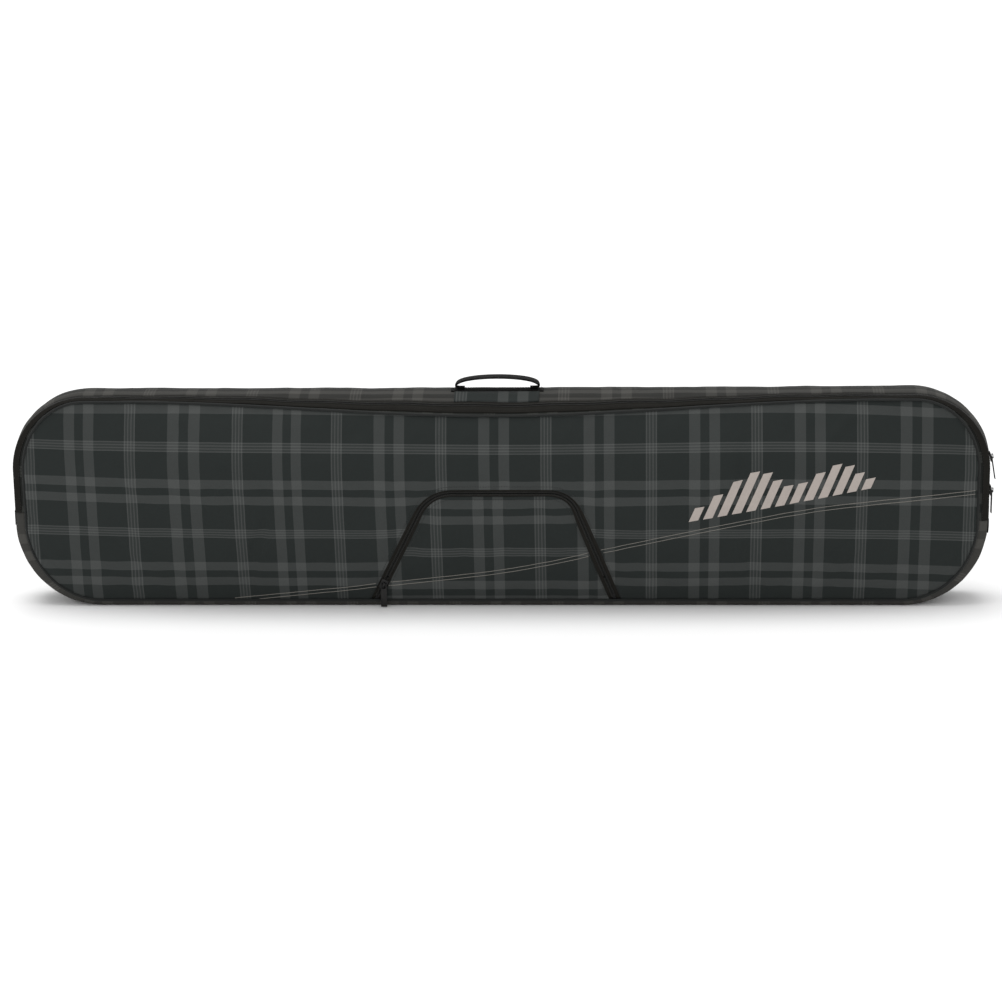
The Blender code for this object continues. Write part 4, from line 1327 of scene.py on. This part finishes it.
def make_sliders():
    kinds = (("slider", "slider_metal", METAL, 0.00045), ("pull", "pull_rubber", PULL, 0.00040))
    for kind, slot_name, material, width in kinds:
        bevelled_copy("zip_%s_a" % kind, kind + "_a", material, width)
        bevelled_copy("zip_%s_b" % kind, kind + "_b", material, width)
        bevelled_copy("pocket_" + kind, "pocket_" + kind, material, width)


# ---------------------------------------------------------------- stitching


def make_stitches(name, points, outs, body, lift=STITCH_LIFT):
    """A row of thread stitches along a line of points, lying on the cloth."""
    points, outs = np.asarray(points), np.asarray(outs)
    length = lengths_along(points)
    made, faces = [], []
    start = STITCH_PITCH / 2
    while start + STITCH_LENGTH < length[-1]:
        ends = []
        for share, rise in STITCH_RINGS:
            at = start + share * STITCH_LENGTH
            place = np.array([np.interp(at, length, points[:, k]) for k in range(3)])
            out = np.array([np.interp(at, length, outs[:, k]) for k in range(3)])
            ends.append((place + out * (lift + rise * THREAD_RADIUS), out))
        along = ends[3][0] - ends[0][0]
        along /= np.linalg.norm(along)
        base = len(made)
        for place, out in ends:
            side = np.cross(along, out)
            for angle in (0.0, math.pi / 2, math.pi, 1.5 * math.pi):
                made.append(place + THREAD_RADIUS * (math.cos(angle) * side + math.sin(angle) * out))
        for ring in range(base, base + 12, 4):
            for k in range(4):
                m = (k + 1) % 4
                faces.append((ring + k, ring + m, ring + 4 + m, ring + 4 + k))
        start += STITCH_PITCH
    made = np.array(made)
    stitches = make_object(name, made, faces, made[:, (0, 2)])
    return dress(stitches, body, [THREAD])


def make_gusset_stitches():
    stations = zip_stations(STRIP_STEP)
    rows = (
        ("stitches_gusset_top", -ZIP_HALF_WIDTH - 0.0022, "root", STITCH_LIFT),
        ("stitches_gusset_strip", ZIP_HALF_WIDTH + 0.0030, "lid", 0.0015),
    )
    for name, offset, body, lift in rows:
        centres, _, _, outs = track_frames(stations, offset)
        make_stitches(name, centres, outs, body, lift=lift)


# ---------------------------------------------------------------- front pocket


def pocket_tape(name, inner, outer):
    """A ribbon along the pocket zip between two offsets, a little behind the pocket's plane."""
    columns = 8
    lines = [pocket_path(offset, BOTTOM_EDGE_Z) for offset in np.linspace(inner, outer, columns)]
    rows = min(len(line) for line in lines)
    lines = [even_rows(line, rows) for line in lines]
    points, places = [], []
    for i in range(rows):
        for k, line in enumerate(lines):
            x, z = line[i]
            points.append((x, pocket_plane_y(z) + TAPE_SINK, z))
            places.append((i * FINE_STEP, k * abs(outer - inner) / (columns - 1)))
    ribbon = make_object(name, points, grid_faces(rows, columns), places)
    face_outwards(ribbon)
    thicken(ribbon, POCKET_TAPE_THICKNESS)
    return ribbon


def pocket_frames(offset, end_z, step):
    """Frames along the pocket zip: centres, along, across away from the flap, and out of the panel."""
    line = pocket_path(offset, end_z, step)
    centres = np.array([(x, pocket_plane_y(z), z) for x, z in line])
    alongs = unit(np.gradient(centres, axis=0))
    out = np.array((0.0, -1.0, -FRONT_LEAN)) / math.hypot(1.0, FRONT_LEAN)
    outs = np.tile(out, (len(centres), 1))
    acrosses = np.cross(outs, alongs)
    outward = pocket_path(offset + 0.001, end_z, step)
    middle = len(line) // 2
    if acrosses[middle, 2] * (outward[len(outward) // 2][1] - line[middle][1]) < 0:
        acrosses = -acrosses
    return centres, alongs, acrosses, outs


def make_pocket_teeth():
    end = BOTTOM_EDGE_Z + 0.005
    outer = pocket_frames(COIL_SLOT, end, TOOTH_PITCH / 2)
    bottom, top = -COIL_BELOW, COIL_ABOVE - COIL_BELOW
    teeth = make_teeth("pocket_coil_outer_teeth", outer, bottom, top, 0)
    dress(teeth, "lid", [COIL], ["pocket_coil_outer"])
    inner = list(pocket_frames(-COIL_SLOT, end, TOOTH_PITCH / 2))
    inner[2] = -inner[2]
    above = inner[0][:, 2] > POCKET_FOLD_Z + 0.001
    teeth = make_teeth("pocket_coil_inner_teeth", [part[above] for part in inner], bottom, top, 1)
    dress(teeth, "flap", [COIL], ["pocket_coil_inner"])
    for name, side in (("left", -1), ("right", 1)):
        foot = (inner[0][:, 2] <= POCKET_FOLD_Z - 0.001) & (np.sign(inner[0][:, 0]) == side)
        teeth = make_teeth("pocket_coil_foot_" + name, [part[foot] for part in inner], bottom, top, 1)
        dress(teeth, "lid", [COIL])


def flap_blend(obj):
    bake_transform(obj)


def make_pocket_tapes():
    for name, side, body in (("outer", 1, "lid"), ("inner", -1, None)):
        under_coil = side * (COIL_EDGE - 0.0012)
        tape = pocket_tape("pocket_tape_%s_knit" % name, under_coil, side * TAPE_HALF_WIDTH)
        dress(tape, body, [POCKET_TAPE, POCKET_TAPE], ["pocket_tape_" + name])
        if body is None:
            flap_blend(tape)


def make_flap():
    """The flap and the skirt below its fold, as one cloth."""
    cell = 0.006
    xs = spread(POCKET_LEFT_X, POCKET_RIGHT_X, cell)
    below = spread(BOTTOM_SEAM_INSET + SKIN_CLEARANCE, POCKET_FOLD_Z - FOLD_HALF_BAND - 0.001, cell)
    band = spread(POCKET_FOLD_Z - FOLD_HALF_BAND, POCKET_FOLD_Z + FOLD_HALF_BAND, 0.0014)
    above = spread(POCKET_FOLD_Z + FOLD_HALF_BAND + 0.003, POCKET_TOP_Z + 0.002, cell)
    zs = list(below) + list(band) + list(above)
    places = np.array([(x, z) for x in xs for z in zs])
    outline = cloth_edge(-1)
    places, faces = cut_grid(places, grid_faces(len(xs), len(zs)), outline, True, cell)
    points = [(x, pocket_plane_y(z), z) for x, z in places]
    flap = make_object("pocket_flap_cloth", points, faces, places)
    held = boundary(flap.data) | (np.abs(places[:, 1] - POCKET_FOLD_Z) < 0.004)
    creases = (
        ((-0.100, 0.168), (-0.140, 0.090), 0.008, 0.0010),
        ((0.075, 0.165), (0.120, 0.090), 0.008, 0.0012),
    )
    surface = fill_out(flap, held, 1.2, 0.004, creases, 41.0)
    thicken(flap, CLOTH)
    dress(flap, None, [PLAID_FLAP, POUCH_CLOTH], ["pocket_flap", "pocket_skirt"])
    flap_blend(flap)
    return surface


def make_pouch():
    """The pocket's back wall."""
    outline = pocket_path(POUCH_MARGIN, BOTTOM_EDGE_Z)
    cell = 0.009
    xs = spread(outline[:, 0].min() - 0.004, outline[:, 0].max() + 0.004, cell)
    zs = spread(BOTTOM_EDGE_Z, POCKET_TOP_Z + POUCH_MARGIN + 0.004, cell)
    places = np.array([(x, z) for x in xs for z in zs])
    places, faces = cut_grid(places, grid_faces(len(xs), len(zs)), pocket_path(POUCH_MARGIN, 0.0), True, cell)
    depth = CLOTH + GAP
    points = [(x, pocket_plane_y(z, FRONT_INNER_LEAN) + depth, z) for x, z in places]
    pouch = make_object("pocket_pouch_cloth", points, faces, places)
    face_outwards(pouch)
    subdivide(pouch)
    flat = read_cloth(pouch.data)[:, :2]
    inner = 1.0 - edge_share(pouch.data, 5)
    high = smooth((flat[:, 1] - 0.03) / 0.06)
    move_along_normals(pouch, inner * high * (0.0008 + 0.0012 * np.abs(ripple(flat, 0.05, 53.0))))
    thicken(pouch, POUCH)
    dress(pouch, "lid", [POUCH_CLOTH, POUCH_CLOTH], ["pocket_pouch"])


def make_pocket_stitches(skin, flap):
    """A row of stitches on each side of the pocket zip, laid on the cloth."""
    rows = (("outer", TAPE_HALF_WIDTH, skin, "lid"), ("inner", -TAPE_HALF_WIDTH, flap, None))
    for name, offset, surface, body in rows:
        centres, _, _, outs = pocket_frames(offset, BOTTOM_EDGE_Z + 0.002, FINE_STEP)
        points = [tuple(on_surface(surface, c[0], c[2], 0.0) or Vector(c)) for c in centres]
        stitches = make_stitches("stitches_pocket_" + name, points, outs, body)
        if body is None:
            flap_blend(stitches)


# ---------------------------------------------------------------- contrast lines and graphic


def hermite_curve(knots, xs):
    """z at each x on a smooth curve through the knots."""
    knot_x, knot_z = np.array(knots).T
    slopes = np.gradient(knot_z, knot_x)
    i = np.clip(np.searchsorted(knot_x, xs) - 1, 0, len(knots) - 2)
    width = knot_x[i + 1] - knot_x[i]
    t = (xs - knot_x[i]) / width
    return hermite(t, knot_z[i], width * slopes[i], knot_z[i + 1], width * slopes[i + 1])


def on_surface(surface, x, z, lift):
    """The point of the cloth at x and z, lifted along its normal. None where there is no cloth."""
    hit, normal, _, _ = surface.ray_cast(Vector((x, -0.3, z)), Vector((0, 1, 0)), 0.4)
    if hit is None:
        return None
    return hit + (normal if normal.y < 0 else -normal) * lift


def line_runs(surface, offset):
    """The stretches of one contrast line that lie on a cloth, as rows of points across the line."""
    xs = spread(LINE_CURVE[0][0], LINE_CURVE[-1][0], FINE_STEP)
    zs = hermite_curve(LINE_CURVE, xs)
    runs, current = [], []
    for x, z in zip(xs, zs):
        row = []
        for share, lift in ((-0.5, 0.0), (-0.3, 0.0004), (0.3, 0.0004), (0.5, 0.0)):
            row.append(on_surface(surface, x, z + offset + share * LINE_WIDTH, lift))
        if all(p is not None for p in row):
            current.append(row)
        elif current:
            runs.append(current)
            current = []
    runs.append(current)
    return [run for run in runs if len(run) > 2]


def make_contrast_lines(skin, flap):
    for number, offset in ((1, LINE_SPACING / 2), (2, -LINE_SPACING / 2)):
        for place, surface, body in (("panel", skin, "lid"), ("flap", flap, None)):
            points, faces = [], []
            for run in line_runs(surface, offset):
                start = len(points)
                points += [tuple(p) for row in run for p in row]
                faces += [tuple(v + start for v in face) for face in grid_faces(len(run), 4)]
            points = np.array(points)
            line = make_object("contrast_line_%d_%s" % (number, place), points, faces, points[:, (0, 2)])
            face_outwards(line)
            dress(line, body, [LINE_THREAD])
            if body is None:
                flap_blend(line)


def bar_height(share):
    """The graphic's outline: two peaks like a ridge line."""
    return GRAPHIC_BASE + sum(height * hump(share, centre, width) for centre, width, height in GRAPHIC_PEAKS)


def make_graphic(surface):
    """A generic printed graphic: slanted bars whose tops follow a ridge line."""
    pitch = GRAPHIC_LENGTH / GRAPHIC_BARS
    width = pitch * 0.66
    points, faces = [], []
    for bar in range(GRAPHIC_BARS):
        base_x = GRAPHIC_START[0] + bar * pitch
        height = bar_height((bar + 0.5) / GRAPHIC_BARS) * 0.92
        columns, rows = 5, max(3, int(height / 0.004))
        start = len(points)
        for i in range(columns):
            for k in range(rows):
                rise = height * k / (rows - 1)
                x = base_x + width * i / (columns - 1) + GRAPHIC_SLANT * rise
                z = GRAPHIC_START[1] + GRAPHIC_SLOPE * (x - GRAPHIC_START[0]) + rise
                points.append(tuple(on_surface(surface, x, z, 0.00035)))
        faces += [tuple(v + start for v in face) for face in grid_faces(columns, rows)]
    points = np.array(points)
    graphic = make_object("printed_ridge_graphic", points, faces, points[:, (0, 2)])
    face_outwards(graphic)
    dress(graphic, "lid", [PRINT])


# ---------------------------------------------------------------- handle


def make_handle_mounts():
    reach = HANDLE_SPAN / 2 + HANDLE_BASE_OVERHANG
    stations = [top_station(x) for x in spread(-reach, reach, FINE_STEP)]

    def web_lines(station):
        return [-y / half_depth(station) for y in np.linspace(HANDLE_BACK_Y, HANDLE_FRONT_Y, 9)]

    web = strip_object("handle_base_strap", stations, web_lines)
    move_along_normals(web, MOUNT_LIFT + 0.0005 * (1.0 - edge_share(web.data, 2)))
    thicken(web, BASE_STRAP_THICKNESS)
    dress(web, "root", [STRAP, STRAP], ["handle_base_web"])
    patch_stations = [top_station(x) for x in spread(-HANDLE_SPAN / 2, HANDLE_SPAN / 2, FINE_STEP)]

    def patch_lines(station):
        front = -(HANDLE_FRONT_Y - GAP) / half_depth(station)
        return np.linspace(front, band_v(station, -ZIP_HALF_WIDTH - 0.0008), 9)

    patch = strip_object("handle_patch_cloth", patch_stations, patch_lines)
    wave = ripple(read_cloth(patch.data)[:, :2], 0.03, 61.0)
    move_along_normals(patch, MOUNT_LIFT + 0.0004 * (1.0 - edge_share(patch.data, 2)) * (1.0 + wave))
    thicken(patch, PATCH_THICKNESS)
    dress(patch, "root", [PLAID_PATCH, PLAID_PATCH], ["handle_patch"])
    make_mount_stitches(reach)


def make_mount_stitches(reach):
    """Two rows along the strap and a box at each end."""
    inset, box_length = 0.0022, 0.022
    front, back = HANDLE_FRONT_Y + inset, HANDLE_BACK_Y - inset
    rows = [[(x, y) for x in spread(-reach + inset, reach - inset, FINE_STEP)] for y in (front, back)]
    for side in (-1, 1):
        for x in (side * (reach - inset), side * (reach - box_length)):
            rows.append([(x, y) for y in spread(front, back, FINE_STEP)])
    for number, row in enumerate(rows):
        points = [(x, y, gusset_point(top_station(x), -y / TOP_HALF_DEPTH)[2] + 0.0017) for x, y in row]
        outs = [(0.0, 0.0, 1.0)] * len(points)
        make_stitches("stitches_handle_base_%d" % number, points, outs, "root")


def handle_line():
    """The strap's centreline from the left foot over the arch to the right one, as (x, z, width)."""
    half = (HANDLE_SPAN - HANDLE_WEB) / 2
    rise = HANDLE_HEIGHT - (HANDLE_PIVOT_Z - BAG_HEIGHT) - HANDLE_WEB / 2
    low = BAG_HEIGHT + 0.0034
    foot = ((0.014, 0.0), (0.009, 0.0), (0.004, 0.0001), (0.0008, 0.0010))
    arch = []
    for angle in np.linspace(0.0, math.pi, 61):
        height = rise * math.sin(angle) ** 0.8 - 0.001
        width = mix(HANDLE_FOOT_WIDTH, HANDLE_WIDTH, smooth(3.0 * math.sin(angle)))
        arch.append((-half * math.cos(angle), HANDLE_PIVOT_Z + height, width))
    left = [(inward - half, low + lift, HANDLE_FOOT_WIDTH) for inward, lift in foot]
    right = [(-x, z, width) for x, z, width in reversed(left)]
    return even_points(np.array(left + arch + right), HANDLE_STEP)


def make_handle():
    line = handle_line()
    tangents = unit(np.gradient(line[:, :2], axis=0))
    sides = 20
    points, places = [], []
    for i, (x, z, width) in enumerate(line):
        out = np.array((-tangents[i, 1], tangents[i, 0]))
        for k in range(sides + 1):
            angle = 2 * math.pi * k / sides
            across = signed_power(math.cos(angle), 0.35) * width / 2
            lift = signed_power(math.sin(angle), 0.6) * HANDLE_THICKNESS / 2
            points.append((x + out[0] * lift, HANDLE_CENTRE_Y + across, z + out[1] * lift))
            places.append((i * HANDLE_STEP, across))
    strap = make_object("handle_strap", points, grid_faces(len(line), sides + 1), places)
    last = (len(line) - 1) * (sides + 1)
    caps = (range(sides), range(last + sides - 1, last - 1, -1))
    shape = bmesh.new()
    shape.from_mesh(strap.data)
    shape.verts.ensure_lookup_table()
    for cap in caps:
        shape.faces.new([shape.verts[i] for i in cap])
    bmesh.ops.recalc_face_normals(shape, faces=shape.faces)
    shape.to_mesh(strap.data)
    shape.free()
    dress(strap, None, [STRAP], ["handle_loop"])
    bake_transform(strap)


# ---------------------------------------------------------------- stage, light and camera


def make_floor():
    size = 400.0
    corners = [(-size, -size, 0), (size, -size, 0), (size, size, 0), (-size, size, 0)]
    floor = make_object("studio_floor", corners, [(0, 1, 2, 3)])
    floor.data.materials.append(floor_material())


def area_light(name, place, target, size, power):
    light = bpy.data.lights.new(name, "AREA")
    light.shape = "RECTANGLE"
    light.size, light.size_y = size
    light.energy = power
    obj = bpy.data.objects.new(name, light)
    obj.location = place
    obj.rotation_mode = "QUATERNION"
    obj.rotation_quaternion = (Vector(target) - Vector(place)).to_track_quat("-Z", "Y")
    scene.collection.objects.link(obj)


def make_light():
    world = bpy.data.worlds.new("studio")
    world.use_nodes = True
    background = world.node_tree.nodes["Background"]
    background.inputs["Color"].default_value = (1.0, 1.0, 1.0, 1.0)
    background.inputs["Strength"].default_value = 0.75
    scene.world = world
    sun = bpy.data.lights.new("overhead", "SUN")
    sun.energy = 1.55
    sun.angle = math.radians(35.0)
    lamp = bpy.data.objects.new("overhead", sun)
    lamp.rotation_mode = "QUATERNION"
    lamp.rotation_quaternion = Vector((0.12, -0.06, -1.0)).to_track_quat("-Z", "Y")
    scene.collection.objects.link(lamp)
    area_light("front_left", (-1.6, -2.6, 1.3), (0.0, 0.0, 0.18), (1.8, 1.2), 8.0)


def make_camera():
    azimuth, elevation = math.radians(2.78), math.radians(15.08)
    distance, frame_width, roll = 4.5, 1.6052, math.radians(-0.81)
    target = Vector((0.0054, -0.05, 0.1772))
    level = math.cos(elevation)
    back = Vector((math.sin(azimuth) * level, -math.cos(azimuth) * level, math.sin(elevation)))
    data = bpy.data.cameras.new("camera")
    data.sensor_width = 36.0
    data.lens = data.sensor_width * distance / frame_width
    data.clip_end = 1000.0
    camera = bpy.data.objects.new("camera", data)
    camera.location = target + back * distance
    camera.rotation_mode = "QUATERNION"
    camera.rotation_quaternion = (-back).to_track_quat("-Z", "Y") @ Quaternion((0, 0, 1), roll)
    scene.collection.objects.link(camera)
    scene.camera = camera


def build():
    skin = make_front_skin()
    make_back_skin()
    make_layers()
    make_gusset()
    make_piping()
    make_main_zip()
    make_end_tabs()
    make_gusset_stitches()
    make_sliders()
    make_pocket_tapes()
    make_pocket_teeth()
    flap = make_flap()
    make_pouch()
    make_pocket_stitches(skin, flap)
    make_contrast_lines(skin, flap)
    make_graphic(skin)
    make_handle_mounts()
    make_handle()
    make_floor()
    make_light()
    make_camera()
    scene.view_settings.view_transform = "Standard"


build()
